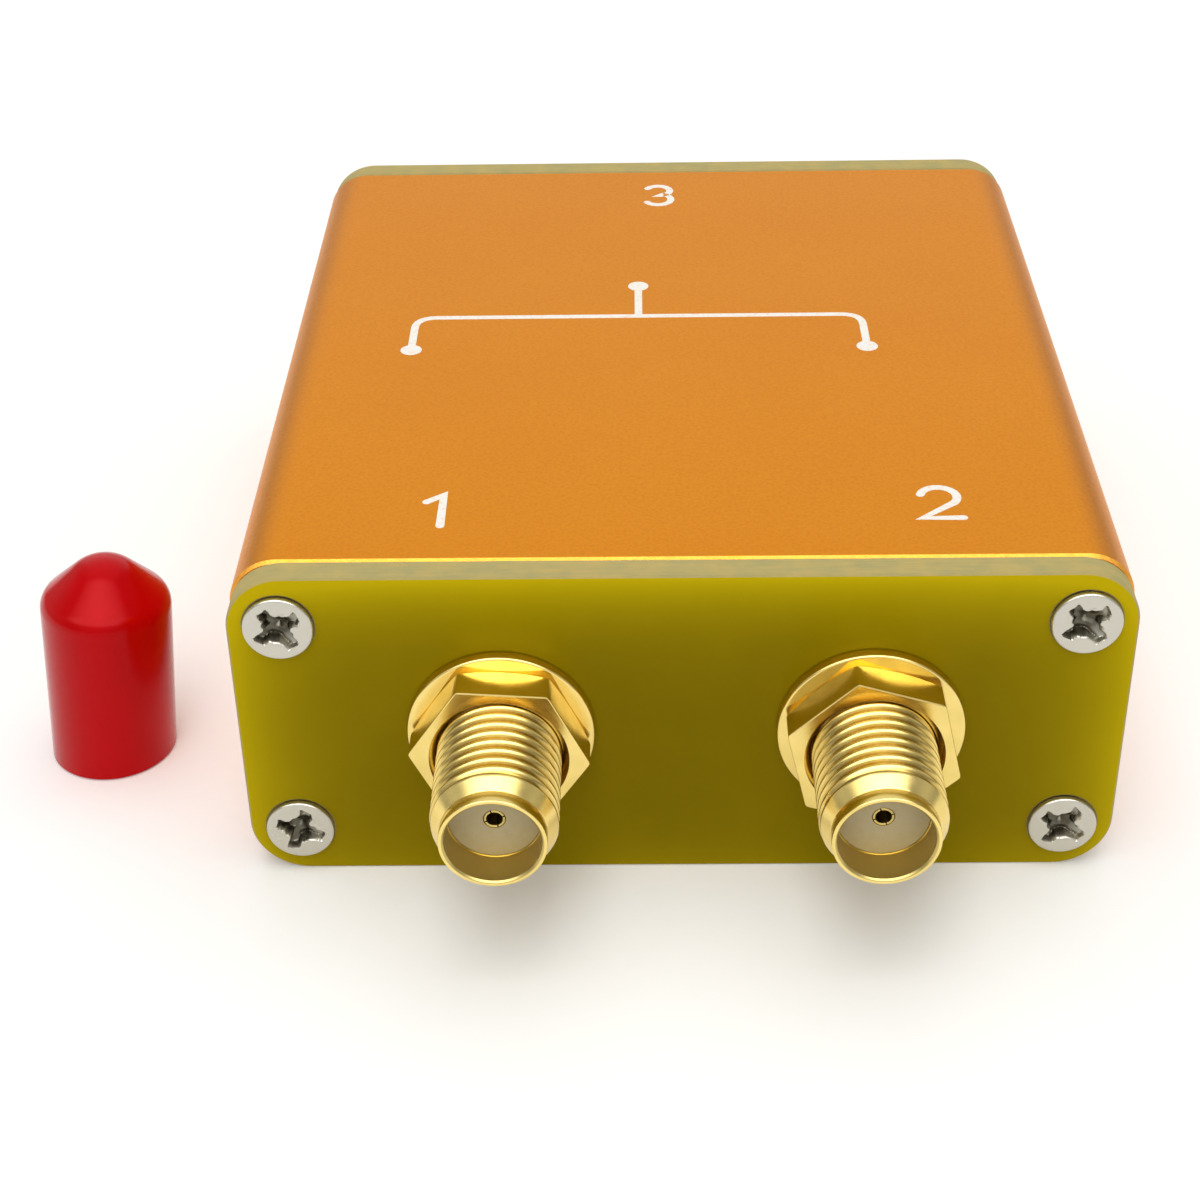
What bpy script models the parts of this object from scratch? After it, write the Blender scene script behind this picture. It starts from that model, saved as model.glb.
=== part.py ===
"""Small two-band antenna splitter in an extruded case, with three coaxial sockets and a loose dust cap.

Units are metres, +Z is up and the front face looks along -Y. The origin is the centre of the
case's underside, halfway along its length.
"""

from math import acos, asin, cos, degrees, pi, radians, sin, tan

import bmesh
import bpy
from mathutils import Matrix

MM = 0.001

# Case: an extrusion with a screw channel in each corner and a guide slot in each side
CASE_WIDTH = 45.5 * MM
CASE_HEIGHT = 18.5 * MM
CASE_LENGTH = 48.0 * MM
CASE_RADIUS = 2.6 * MM
CASE_WALL = 1.3 * MM
CASE_CHAMFER = 0.15 * MM
CHANNEL_WALL = 0.9 * MM
CHANNEL_MOUTH = 0.7 * MM
GUIDE_DEPTH = 1.3 * MM
GUIDE_RIB = 0.8 * MM
GUIDE_CLEARANCE = 0.1 * MM

# End plates
PLATE_THICKNESS = 1.6 * MM
PLATE_RADIUS = 3.0 * MM
PLATE_CHAMFER = 0.1 * MM
SEAT = 0.05 * MM

# Case screws: flat heads that stand proud of the plate, cross recess
SCREW_INSET_X = 2.65 * MM
SCREW_INSET_Z = 2.82 * MM
SCREW_LENGTH = 6.5 * MM
SCREW_DIAMETER = 1.8 * MM
SCREW_CLEARANCE = 0.08 * MM
HEAD_DIAMETER = 3.6 * MM
HEAD_RIM = 0.38 * MM
HEAD_EDGE = 0.06 * MM
HEAD_SINK = 0.85 * MM
RECESS_SPAN = 2.1 * MM
RECESS_WIDTH = 0.5 * MM
RECESS_DEPTH = 0.8 * MM
RECESS_TAPER = 0.45
FRONT_SCREW_TURNS = (41, 8, 12, 28)
REAR_SCREW_TURNS = (15, 62, 35, 80)

# Coaxial sockets
SOCKET_RISE = 0.05 * MM
FRONT_SOCKET_PITCH = 18.9 * MM
FRONT_SOCKET_SHIFT = 0.25 * MM
BARREL_DIAMETER = 6.35 * MM
BARREL_REACH = 9.3 * MM
MOUTH_DIAMETER = 5.3 * MM
MOUTH_NECK = 1.0 * MM
MOUTH_TAPER = 0.45 * MM
BORE_DIAMETER = 4.6 * MM
BORE_DEPTH = 1.9 * MM
BORE_CHAMFER = 0.1 * MM
INSULATOR_DIAMETER = 4.1 * MM
CONTACT_DIAMETER = 1.27 * MM
CONTACT_BORE = 0.92 * MM
CONTACT_BORE_DEPTH = 3.0 * MM
CONTACT_SLIT = 0.16 * MM
CONTACT_SLIT_DEPTH = 2.4 * MM
TAIL_DIAMETER = 0.9 * MM
TAIL_LENGTH = 3.2 * MM
FLANGE_SIDE = 8.0 * MM
FLANGE_THICKNESS = 1.8 * MM
FLANGE_RADIUS = 0.8 * MM
LEG_SIDE = 0.95 * MM
LEG_LENGTH = 4.5 * MM
LEG_PITCH = 5.1 * MM
WASHER_WIDTH = 1.565 * MM
WASHER_THICKNESS = 0.6 * MM
NUT_ACROSS_FLATS = 8.0 * MM
NUT_THICKNESS = 2.0 * MM
NUT_MOUTH = 7.1 * MM
NUT_MOUTH_DEPTH = 0.35 * MM
NUT_CHAMFER_ANGLE = 30
BARREL_CLEARANCE = 0.06 * MM
SOCKET_TURNS = (26, 13, 10)

# Circuit board and what is soldered to it
BOARD_THICKNESS = 1.6 * MM
BOARD_SETBACK = 0.3 * MM
FILTER_MIDDLE = 1.0 * MM
WIRE_DIAMETER = 0.8 * MM
COIL_PITCH = 1.15 * MM
COIL_STEPS = 12
COIL_HEADROOM = 1.95 * MM
SHUNT_COIL_HEADROOM = 2.95 * MM
SHUNT_COIL_TURNS = 3
SHUNT_COIL_OFFSET = 4.5 * MM
SHUNT_COIL_PITCH = 12.0 * MM
SERIES_COIL_TURNS = 5
SERIES_COIL_PITCH = 14.0 * MM
CHIP_LENGTH = 2.0 * MM
CHIP_WIDTH = 1.25 * MM
CHIP_HEIGHT = 0.95 * MM
CHIP_EDGE = 0.08 * MM
SERIES_CHIP_PITCH = 6.9 * MM
SHUNT_CHIP_OFFSET = 5.5 * MM
SHUNT_CHIP_PITCH = 9.0 * MM

# Dust cap, standing beside the case on its open end and leaning a little
CAP_X = -32.45 * MM
CAP_Y = -14.6 * MM
CAP_RIM_RADIUS = 3.5 * MM
CAP_SHOULDER_RADIUS = 3.6 * MM
CAP_SHOULDER_HEIGHT = 9.4 * MM
CAP_SHOULDER_ROUND = 1.3 * MM
CAP_TOP_SLOPE = 43
CAP_TIP_ROUND = 2.5 * MM
CAP_WALL = 0.4 * MM
CAP_LEAN_RIGHT = 4
CAP_LEAN_BACK = 3
CAP_TRIM = 0.6 * MM

HALF_LENGTH = CASE_LENGTH / 2
PLATE_OUTER = HALF_LENGTH + SEAT + PLATE_THICKNESS
PLATE_INNER = HALF_LENGTH + SEAT
INNER_HALF_WIDTH = CASE_WIDTH / 2 - CASE_WALL
INNER_HALF_HEIGHT = CASE_HEIGHT / 2 - CASE_WALL
CASE_MIDDLE = CASE_HEIGHT / 2
SCREW_X = CASE_WIDTH / 2 - SCREW_INSET_X
SCREW_Z = CASE_HEIGHT / 2 - SCREW_INSET_Z
SOCKET_HEIGHT = CASE_MIDDLE + SOCKET_RISE
BOARD_TOP = SOCKET_HEIGHT - TAIL_DIAMETER / 2 - SEAT
BOARD_BOTTOM = BOARD_TOP - BOARD_THICKNESS
BOARD_END = PLATE_INNER - SEAT - FLANGE_THICKNESS - BOARD_SETBACK
HOLE_SEGMENTS = 20
BARREL_SEGMENTS = 32
CAP_SEGMENTS = 28

ORANGE = ("orange_anodised", (0.72, 0.25, 0.02, 1), 0.38, 0.9)
LAMINATE = ("plate_laminate", (0.28, 0.24, 0.02, 1), 0.3, 0)
NICKEL = ("screw_nickel", (0.62, 0.6, 0.55, 1), 0.3, 1)
GOLD = ("socket_gold", (0.83, 0.61, 0.21, 1), 0.22, 1)
FLUOROPLASTIC = ("insulator_white", (0.78, 0.76, 0.68, 1), 0.45, 0)
BOARD_GREEN = ("board_green", (0.02, 0.16, 0.06, 1), 0.35, 0)
ENAMEL = ("coil_enamel", (0.55, 0.19, 0.06, 1), 0.28, 1)
CHIP_BROWN = ("chip_ceramic", (0.42, 0.3, 0.2, 1), 0.45, 0)
CAP_RED = ("cap_red", (0.6, 0.0, 0.01, 1), 0.25, 0)


def clear_scene():
    for obj in list(bpy.data.objects):
        bpy.data.objects.remove(obj, do_unlink=True)


def new_collection(name):
    collection = bpy.data.collections.new(name)
    bpy.context.scene.collection.children.link(collection)
    return collection


def material(finish):
    name, colour, roughness, metallic = finish
    found = bpy.data.materials.get(name)
    if found:
        return found
    made = bpy.data.materials.new(name)
    made.use_nodes = True
    shader = made.node_tree.nodes["Principled BSDF"]
    shader.inputs["Base Color"].default_value = colour
    shader.inputs["Roughness"].default_value = roughness
    shader.inputs["Metallic"].default_value = metallic
    made.diffuse_color = colour
    return made


def add_part(name, mesh, finish, matrix=None):
    """A piece of the object in the parts collection."""
    obj = bpy.data.objects.new(name, mesh)
    parts.objects.link(obj)
    obj.matrix_world = matrix or Matrix()
    if not mesh.materials:
        mesh.materials.append(material(finish))
    return obj


def add_cutter(name, mesh, matrix=None):
    """A helper that shapes a part and is never part of the object."""
    obj = bpy.data.objects.new(name, mesh)
    cutters.objects.link(obj)
    obj.matrix_world = matrix or Matrix()
    obj.hide_render = True
    obj.display_type = "WIRE"
    return obj


def combine(obj, other, operation="DIFFERENCE"):
    modifier = obj.modifiers.new(operation.title(), "BOOLEAN")
    modifier.operation = operation
    modifier.solver = "EXACT"
    modifier.object = other


def evaluated_mesh(obj, name):
    """The object's shape with its modifiers applied, as a mesh of its own. The object is removed."""
    bpy.context.view_layer.update()
    graph = bpy.context.evaluated_depsgraph_get()
    mesh = bpy.data.meshes.new_from_object(obj.evaluated_get(graph))
    mesh.name = name
    bpy.data.objects.remove(obj, do_unlink=True)
    return mesh


def smooth(mesh):
    mesh.shade_smooth()
    mesh.set_sharp_from_angle(angle=radians(35))
    return mesh


def turned_mesh(name, profile, closed, segments=BARREL_SEGMENTS):
    """A profile of (radius, height) points turned about Z. It runs down its outer side."""
    mesh = bpy.data.meshes.new(name)
    edges = [(i, i + 1) for i in range(len(profile) - 1)]
    if closed:
        edges.append((len(profile) - 1, 0))
    mesh.from_pydata([(radius, 0, height) for radius, height in profile], edges, [])
    obj = bpy.data.objects.new(name, mesh)
    cutters.objects.link(obj)
    turn = obj.modifiers.new("Turn", "SCREW")
    turn.axis = "Z"
    turn.steps = segments
    turn.render_steps = segments
    turn.use_merge_vertices = True
    turn.merge_threshold = 0.000001
    return smooth(evaluated_mesh(obj, name))


def outline_mesh(name, outlines, depth, chamfer=0):
    """Flat outlines, the first one outside and the rest holes, made `depth` thick about Z = 0."""
    curve = bpy.data.curves.new(name, "CURVE")
    curve.dimensions = "2D"
    curve.fill_mode = "BOTH"
    curve.extrude = depth / 2
    for outline in outlines:
        spline = curve.splines.new("POLY")
        spline.points.add(len(outline) - 1)
        for point, (x, y) in zip(spline.points, outline):
            point.co = (x, y, 0, 1)
        spline.use_cyclic_u = True
    obj = bpy.data.objects.new(name, curve)
    cutters.objects.link(obj)
    mesh = evaluated_mesh(obj, name)
    shape = bmesh.new()
    shape.from_mesh(mesh)
    bmesh.ops.remove_doubles(shape, verts=shape.verts, dist=0.0000001)
    bmesh.ops.dissolve_limit(shape, angle_limit=radians(1), verts=shape.verts, edges=shape.edges)
    bmesh.ops.recalc_face_normals(shape, faces=shape.faces)
    if chamfer:
        rims = [edge for edge in shape.edges if edge.calc_face_angle(0) > radians(60)]
        bmesh.ops.bevel(shape, geom=rims, offset=chamfer, segments=1, affect="EDGES", clamp_overlap=True)
    shape.to_mesh(mesh)
    shape.free()
    return smooth(mesh)


def block_mesh(name, size, centre=(0, 0, 0), bevel=0, taper=1):
    """A box. With a taper, its lower face is that share of the upper one."""
    shape = bmesh.new()
    bmesh.ops.create_cube(shape, size=1)
    for vert in shape.verts:
        share = taper if vert.co.z < 0 else 1
        vert.co.x *= size[0] * share
        vert.co.y *= size[1] * share
        vert.co.z *= size[2]
    if bevel:
        bmesh.ops.bevel(shape, geom=shape.edges[:], offset=bevel, segments=1, affect="EDGES")
    bmesh.ops.translate(shape, verts=shape.verts, vec=centre)
    mesh = bpy.data.meshes.new(name)
    shape.to_mesh(mesh)
    shape.free()
    return mesh


def cone_mesh(name, low_radius, high_radius, low, high, segments=HOLE_SEGMENTS):
    shape = bmesh.new()
    bmesh.ops.create_cone(
        shape,
        cap_ends=True,
        segments=segments,
        radius1=low_radius,
        radius2=high_radius,
        depth=high - low,
    )
    bmesh.ops.translate(shape, verts=shape.verts, vec=(0, 0, (low + high) / 2))
    mesh = bpy.data.meshes.new(name)
    shape.to_mesh(mesh)
    shape.free()
    return mesh


def arc(centre, radius, start, end, steps):
    """Points on an arc, from `start` to `end` in degrees, both ends kept."""
    turns = [radians(start + (end - start) * i / steps) for i in range(steps + 1)]
    return [(centre[0] + radius * cos(turn), centre[1] + radius * sin(turn)) for turn in turns]


def rounded_rectangle(width, height, radius, steps=6):
    points = []
    for quarter, (sx, sy) in enumerate(((1, 1), (-1, 1), (-1, -1), (1, -1))):
        centre = (sx * (width / 2 - radius), sy * (height / 2 - radius))
        points += arc(centre, radius, 90 * quarter, 90 * quarter + 90, steps)
    return points


def facing(x, z, side, y=0, turn=0):
    """Puts a shape made about Z at (x, z) with its +Z pointing out of the front (-1) or rear (+1)."""
    out = Matrix.Rotation(radians(90 if side < 0 else -90), 4, "X")
    return Matrix.Translation((x, side * y, z)) @ out @ Matrix.Rotation(radians(turn), 4, "Z")


# The case's section


def channel_outline():
    """One corner of the hollow, from the top wall round the open screw channel to the side wall."""
    centre = (SCREW_X, SCREW_Z)
    hole = SCREW_DIAMETER / 2 + SCREW_CLEARANCE
    boss = hole + CHANNEL_WALL
    to_side = INNER_HALF_WIDTH - centre[0]
    to_top = INNER_HALF_HEIGHT - centre[1]
    start = 180 - degrees(asin(to_top / boss))
    end = 360 - degrees(acos(to_side / boss))
    middle = 225
    mouth_boss = degrees(asin(CHANNEL_MOUTH / 2 / boss))
    mouth_hole = degrees(asin(CHANNEL_MOUTH / 2 / hole))
    outline = arc(centre, boss, start, middle - mouth_boss, 5)
    outline += arc(centre, hole, middle - mouth_hole, middle + mouth_hole - 360, 16)
    outline += arc(centre, boss, middle + mouth_boss, end, 5)
    return outline


def guide_outline():
    """The ribs of the board's slot on the right side wall, from top to bottom, about the case's middle."""
    wall = INNER_HALF_WIDTH
    tip = wall - GUIDE_DEPTH
    top = BOARD_TOP + GUIDE_CLEARANCE - CASE_MIDDLE
    bottom = BOARD_BOTTOM - GUIDE_CLEARANCE - CASE_MIDDLE
    return [
        (wall, top + GUIDE_RIB),
        (tip, top + GUIDE_RIB),
        (tip, top),
        (wall, top),
        (wall, bottom),
        (tip, bottom),
        (tip, bottom - GUIDE_RIB),
        (wall, bottom - GUIDE_RIB),
    ]


def hollow_outline():
    upper = channel_outline()
    lower = [(x, -z) for x, z in reversed(upper)]
    right = upper + guide_outline() + lower
    return right + [(-x, z) for x, z in reversed(right)]


def make_case():
    outer = rounded_rectangle(CASE_WIDTH, CASE_HEIGHT, CASE_RADIUS)
    mesh = outline_mesh("case", [outer], CASE_LENGTH, CASE_CHAMFER)
    middle = facing(0, CASE_MIDDLE, -1)
    case = add_part("case", mesh, ORANGE, middle)
    hollow = outline_mesh("case_hollow", [hollow_outline()], CASE_LENGTH * 1.2)
    combine(case, add_cutter("case_hollow", hollow, middle))


# End plates and their screws


def screw_places():
    return [(sx * SCREW_X, CASE_MIDDLE + sz * SCREW_Z) for sz in (1, -1) for sx in (-1, 1)]


def head_cone(grow):
    """Radii of the head's cone, `grow` outside it, from its small end to just past the plate's face."""
    shank = SCREW_DIAMETER / 2 + grow
    rim = HEAD_DIAMETER / 2 + grow
    slope = (HEAD_DIAMETER - SCREW_DIAMETER) / 2 / HEAD_SINK
    return shank, rim + slope * HEAD_RIM, -HEAD_SINK, HEAD_RIM


def make_plate(name, side, socket_places):
    outline = rounded_rectangle(CASE_WIDTH, CASE_HEIGHT, PLATE_RADIUS)
    mesh = outline_mesh(name, [outline], PLATE_THICKNESS, PLATE_CHAMFER)
    plate = add_part(name, mesh, LAMINATE, facing(0, CASE_MIDDLE, side, PLATE_INNER + PLATE_THICKNESS / 2))
    through = PLATE_THICKNESS * 1.5
    screw_hole = SCREW_DIAMETER / 2 + SCREW_CLEARANCE
    socket_hole = BARREL_DIAMETER / 2 + BARREL_CLEARANCE
    for number, (x, z) in enumerate(screw_places(), 1):
        hole = cone_mesh(f"{name}_hole_{number}", screw_hole, screw_hole, -through, through)
        combine(plate, add_cutter(hole.name, hole, facing(x, z, side, PLATE_OUTER)))
        sink = cone_mesh(f"{name}_sink_{number}", *head_cone(SCREW_CLEARANCE))
        combine(plate, add_cutter(sink.name, sink, facing(x, z, side, PLATE_OUTER)))
    for number, x in enumerate(socket_places, 1):
        hole = cone_mesh(f"{name}_bore_{number}", socket_hole, socket_hole, -through, through, BARREL_SEGMENTS)
        combine(plate, add_cutter(hole.name, hole, facing(x, SOCKET_HEIGHT, side, PLATE_OUTER)))


def screw_mesh():
    """Flat head, cone, shank and point, with the plate's face at height 0."""
    head = HEAD_DIAMETER / 2
    shank = SCREW_DIAMETER / 2
    tip = HEAD_RIM - SCREW_LENGTH
    profile = [
        (0, HEAD_RIM),
        (head - HEAD_EDGE, HEAD_RIM),
        (head, HEAD_RIM - HEAD_EDGE),
        (head, 0),
        (shank, -HEAD_SINK),
        (shank, tip + shank),
        (0, tip),
    ]
    screw = bpy.data.objects.new("screw", turned_mesh("screw", profile, False, HOLE_SEGMENTS))
    cutters.objects.link(screw)
    for number in range(2):
        size = (RECESS_SPAN, RECESS_WIDTH, 2 * RECESS_DEPTH)
        blade = block_mesh(f"recess_{number}", size, taper=RECESS_TAPER)
        place = Matrix.Translation((0, 0, HEAD_RIM)) @ Matrix.Rotation(radians(90 * number), 4, "Z")
        combine(screw, add_cutter(blade.name, blade, place))
    return smooth(evaluated_mesh(screw, "screw"))


def make_screws():
    mesh = screw_mesh()
    for end, side, turns in (("front", -1, FRONT_SCREW_TURNS), ("rear", 1, REAR_SCREW_TURNS)):
        for number, ((x, z), turn) in enumerate(zip(screw_places(), turns), 1):
            add_part(f"{end}_screw_{number}", mesh, NICKEL, facing(x, z, side, PLATE_OUTER, turn))


# Coaxial sockets. Height 0 is the plate's outer face and +Z points out of it.


def socket_body_mesh(board_drop):
    """Barrel with its mouth, the square flange behind the plate and four legs astride the board."""
    barrel = BARREL_DIAMETER / 2
    mouth = MOUTH_DIAMETER / 2
    bore = BORE_DIAMETER / 2
    core = INSULATOR_DIAMETER / 2 + SEAT
    shoulder = -PLATE_THICKNESS - SEAT
    back = shoulder - FLANGE_THICKNESS
    neck = BARREL_REACH - MOUTH_NECK
    outside = [
        (0, BARREL_REACH),
        (mouth, BARREL_REACH),
        (mouth, neck),
        (barrel, neck - MOUTH_TAPER),
        (barrel, shoulder - FLANGE_THICKNESS / 2),
        (0, shoulder - FLANGE_THICKNESS / 2),
    ]
    body = bpy.data.objects.new("socket_body", turned_mesh("socket_body", outside, False))
    cutters.objects.link(body)
    outline = rounded_rectangle(FLANGE_SIDE, FLANGE_SIDE, FLANGE_RADIUS, 3)
    flange = outline_mesh("socket_flange", [outline], FLANGE_THICKNESS)
    place = Matrix.Translation((0, 0, shoulder - FLANGE_THICKNESS / 2))
    combine(body, add_cutter("socket_flange", flange, place), "UNION")
    upper = -board_drop + SEAT + LEG_SIDE / 2
    lower = -board_drop - BOARD_THICKNESS - SEAT - LEG_SIDE / 2
    overlap = FLANGE_THICKNESS / 2
    for number, (sx, y) in enumerate(((1, upper), (-1, upper), (1, lower), (-1, lower)), 1):
        centre = (sx * LEG_PITCH / 2, y, back + (overlap - LEG_LENGTH) / 2)
        leg = block_mesh(f"socket_leg_{number}", (LEG_SIDE, LEG_SIDE, LEG_LENGTH + overlap), centre)
        combine(body, add_cutter(leg.name, leg), "UNION")
    margin = MOUTH_NECK
    inside = [
        (0, BARREL_REACH + margin),
        (bore + BORE_CHAMFER, BARREL_REACH + margin),
        (bore + BORE_CHAMFER, BARREL_REACH),
        (bore, BARREL_REACH - BORE_CHAMFER),
        (bore, BARREL_REACH - BORE_DEPTH),
        (core, BARREL_REACH - BORE_DEPTH),
        (core, back - LEG_LENGTH - margin),
        (0, back - LEG_LENGTH - margin),
    ]
    combine(body, add_cutter("socket_bore", turned_mesh("socket_bore", inside, False)))
    return smooth(evaluated_mesh(body, "socket_body"))


def insulator_mesh():
    outside = INSULATOR_DIAMETER / 2
    inside = CONTACT_DIAMETER / 2 + SEAT
    front = BARREL_REACH - BORE_DEPTH
    back = -PLATE_THICKNESS - SEAT - FLANGE_THICKNESS
    profile = [(inside, front), (outside, front), (outside, back), (inside, back)]
    return turned_mesh("insulator", profile, True, HOLE_SEGMENTS)


def contact_mesh():
    """Centre contact: a slit socket at the front and a solid tail that lies on the board."""
    outside = CONTACT_DIAMETER / 2
    bore = CONTACT_BORE / 2
    front = BARREL_REACH - BORE_DEPTH
    back = -PLATE_THICKNESS - SEAT - FLANGE_THICKNESS
    profile = [
        (0, front - CONTACT_BORE_DEPTH),
        (bore, front - CONTACT_BORE_DEPTH + bore),
        (bore, front),
        (outside - CONTACT_SLIT / 2, front),
        (outside, front - CONTACT_SLIT / 2),
        (outside, back),
        (TAIL_DIAMETER / 2, back),
        (TAIL_DIAMETER / 2, back - TAIL_LENGTH),
        (0, back - TAIL_LENGTH),
    ]
    solid = turned_mesh("contact", profile, False, 16)
    contact = bpy.data.objects.new("contact", solid)
    cutters.objects.link(contact)
    for number in range(2):
        size = (CONTACT_DIAMETER * 1.5, CONTACT_SLIT, 2 * CONTACT_SLIT_DEPTH)
        slit = block_mesh(f"contact_slit_{number}", size)
        place = Matrix.Translation((0, 0, front)) @ Matrix.Rotation(radians(90 * number), 4, "Z")
        combine(contact, add_cutter(slit.name, slit, place))
    return smooth(evaluated_mesh(contact, "contact"))


def washer_mesh():
    inside = BARREL_DIAMETER / 2 + BARREL_CLEARANCE
    outside = inside + WASHER_WIDTH
    edge = WASHER_THICKNESS / 5
    low = SEAT
    high = SEAT + WASHER_THICKNESS
    profile = [
        (inside, high),
        (outside - edge, high),
        (outside, high - edge),
        (outside, low),
        (inside, low),
    ]
    return turned_mesh("washer", profile, True)


def nut_mesh():
    """Hexagon with a conical lead at the mouth and its corners turned off on the washer's side."""
    low = 2 * SEAT + WASHER_THICKNESS
    high = low + NUT_THICKNESS
    inside = BARREL_DIAMETER / 2 + BARREL_CLEARANCE
    flat = NUT_ACROSS_FLATS / 2
    corner = flat / cos(pi / 6)
    drop = (corner - flat) * tan(radians(NUT_CHAMFER_ANGLE))
    hexagon = cone_mesh("nut", corner, corner, low, high, 6)
    nut = bpy.data.objects.new("nut", hexagon)
    cutters.objects.link(nut)
    margin = NUT_THICKNESS
    turned_off = [
        (0, high + margin),
        (corner + margin, high + margin),
        (corner + margin, low + drop + margin * tan(radians(NUT_CHAMFER_ANGLE))),
        (flat, low),
        (0, low),
    ]
    shaper = turned_mesh("nut_shaper", turned_off, False)
    combine(nut, add_cutter("nut_shaper", shaper), "INTERSECT")
    mouth = NUT_MOUTH / 2
    hole = [
        (0, high + margin),
        (mouth, high + margin),
        (mouth, high),
        (inside, high - NUT_MOUTH_DEPTH),
        (inside, low - margin),
        (0, low - margin),
    ]
    combine(nut, add_cutter("nut_hole", turned_mesh("nut_hole", hole, False)))
    return smooth(evaluated_mesh(nut, "nut"))


def make_sockets(places):
    board_drop = SOCKET_HEIGHT - BOARD_TOP
    meshes = {
        "body": (socket_body_mesh(board_drop), GOLD),
        "insulator": (insulator_mesh(), FLUOROPLASTIC),
        "contact": (contact_mesh(), GOLD),
        "washer": (washer_mesh(), GOLD),
        "nut": (nut_mesh(), GOLD),
    }
    for number, ((x, side), turn) in enumerate(zip(places, SOCKET_TURNS), 1):
        for piece, (mesh, finish) in meshes.items():
            spin = turn if piece == "nut" else 0
            if piece == "body" and side > 0:
                spin = 180
            matrix = facing(x, SOCKET_HEIGHT, side, PLATE_OUTER, spin)
            add_part(f"port_{number}_{piece}", mesh, finish, matrix)


# Circuit board, coils and chip capacitors


def make_board():
    width = 2 * (INNER_HALF_WIDTH - GUIDE_CLEARANCE)
    size = (width, 2 * BOARD_END, BOARD_THICKNESS)
    mesh = block_mesh("circuit_board", size, (0, 0, (BOARD_TOP + BOARD_BOTTOM) / 2))
    add_part("circuit_board", mesh, BOARD_GREEN)


def make_coil(name, x, y, turns, headroom, heading):
    """An air-wound coil above the board, `headroom` below the case's top, with both leads bent down."""
    foot = BOARD_TOP + SEAT
    low = foot + WIRE_DIAMETER
    high = CASE_HEIGHT - CASE_WALL - headroom
    radius = (high - low - WIRE_DIAMETER) / 2
    axis_height = (high + low) / 2
    length = turns * COIL_PITCH
    steps = turns * COIL_STEPS
    points = [(radius, -length / 2, foot)]
    for step in range(steps + 1):
        turn = 2 * pi * step / COIL_STEPS
        along = length * (step / steps - 0.5)
        points.append((radius * cos(turn), along, axis_height + radius * sin(turn)))
    points.append((radius, length / 2, foot))
    curve = bpy.data.curves.new(name, "CURVE")
    curve.dimensions = "3D"
    curve.bevel_depth = WIRE_DIAMETER / 2
    curve.bevel_resolution = 1
    curve.use_fill_caps = True
    spline = curve.splines.new("POLY")
    spline.points.add(len(points) - 1)
    for point, place in zip(spline.points, points):
        point.co = (*place, 1)
    curve.materials.append(material(ENAMEL))
    coil = bpy.data.objects.new(name, curve)
    parts.objects.link(coil)
    coil.matrix_world = Matrix.Translation((x, y, 0)) @ Matrix.Rotation(radians(heading), 4, "Z")


def make_coils(left, right):
    """Shunt coils beside the high band's line and series coils in the low band's line."""
    shunt_x = left - SHUNT_COIL_OFFSET
    for number, step in enumerate((0.5, -0.5), 1):
        shunt_y = FILTER_MIDDLE + step * SHUNT_COIL_PITCH
        make_coil(f"coil_{number}", shunt_x, shunt_y, SHUNT_COIL_TURNS, SHUNT_COIL_HEADROOM, 90)
    for number, step in enumerate((0.5, -0.5), 3):
        series_y = FILTER_MIDDLE + step * SERIES_COIL_PITCH
        make_coil(f"coil_{number}", right, series_y, SERIES_COIL_TURNS, COIL_HEADROOM, 0)


def make_chips(left, right):
    """Four chips in series along the high band's line and four beside the low band's coils."""
    mesh = block_mesh("chip", (CHIP_LENGTH, CHIP_WIDTH, CHIP_HEIGHT), bevel=CHIP_EDGE)
    height = BOARD_TOP + SEAT + CHIP_HEIGHT / 2
    steps = (1.5, 0.5, -0.5, -1.5)
    places = [(left, FILTER_MIDDLE + step * SERIES_CHIP_PITCH, 90) for step in steps]
    places += [(right + SHUNT_CHIP_OFFSET, FILTER_MIDDLE + step * SHUNT_CHIP_PITCH, 0) for step in steps]
    for number, (x, y, heading) in enumerate(places, 1):
        matrix = Matrix.Translation((x, y, height)) @ Matrix.Rotation(radians(heading), 4, "Z")
        add_part(f"capacitor_{number}", mesh, CHIP_BROWN, matrix)


# Dust cap


def cap_profile():
    """The cap's outside from its rounded tip over a conical top and a round shoulder to the rim."""
    slope = radians(CAP_TOP_SLOPE)
    round_x = CAP_SHOULDER_RADIUS - CAP_SHOULDER_ROUND
    round_z = CAP_SHOULDER_HEIGHT
    cone_x = round_x + CAP_SHOULDER_ROUND * sin(slope)
    cone_z = round_z + CAP_SHOULDER_ROUND * cos(slope)
    tip_x = CAP_TIP_ROUND * sin(slope)
    tip_z = cone_z + (cone_x - tip_x) * tan(slope)
    tip_centre = tip_z - CAP_TIP_ROUND * cos(slope)
    top = arc((0, tip_centre), CAP_TIP_ROUND, 90, 90 - CAP_TOP_SLOPE, 4)
    shoulder = arc((round_x, round_z), CAP_SHOULDER_ROUND, 90 - CAP_TOP_SLOPE, 0, 5)
    top[0] = (0, top[0][1])
    return top + shoulder + [(CAP_RIM_RADIUS, -CAP_TRIM)]


def make_dust_cap():
    """A thin shell on its open end. The lean is cut off level at the rim, so that it stands."""
    lean = Matrix.Rotation(radians(CAP_LEAN_RIGHT), 4, "Y") @ Matrix.Rotation(radians(-CAP_LEAN_BACK), 4, "X")
    place = Matrix.Translation((CAP_X, CAP_Y, 0)) @ lean
    mesh = turned_mesh("dust_cap", cap_profile(), False, CAP_SEGMENTS)
    cap = add_part("dust_cap", mesh, CAP_RED, place)
    wall = cap.modifiers.new("Wall", "SOLIDIFY")
    wall.thickness = CAP_WALL
    wall.offset = -1
    wall.use_even_offset = True
    size = 4 * CAP_SHOULDER_RADIUS
    below = block_mesh("cap_trim", (size, size, size), (CAP_X, CAP_Y, -size / 2))
    combine(cap, add_cutter("cap_trim", below))


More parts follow.
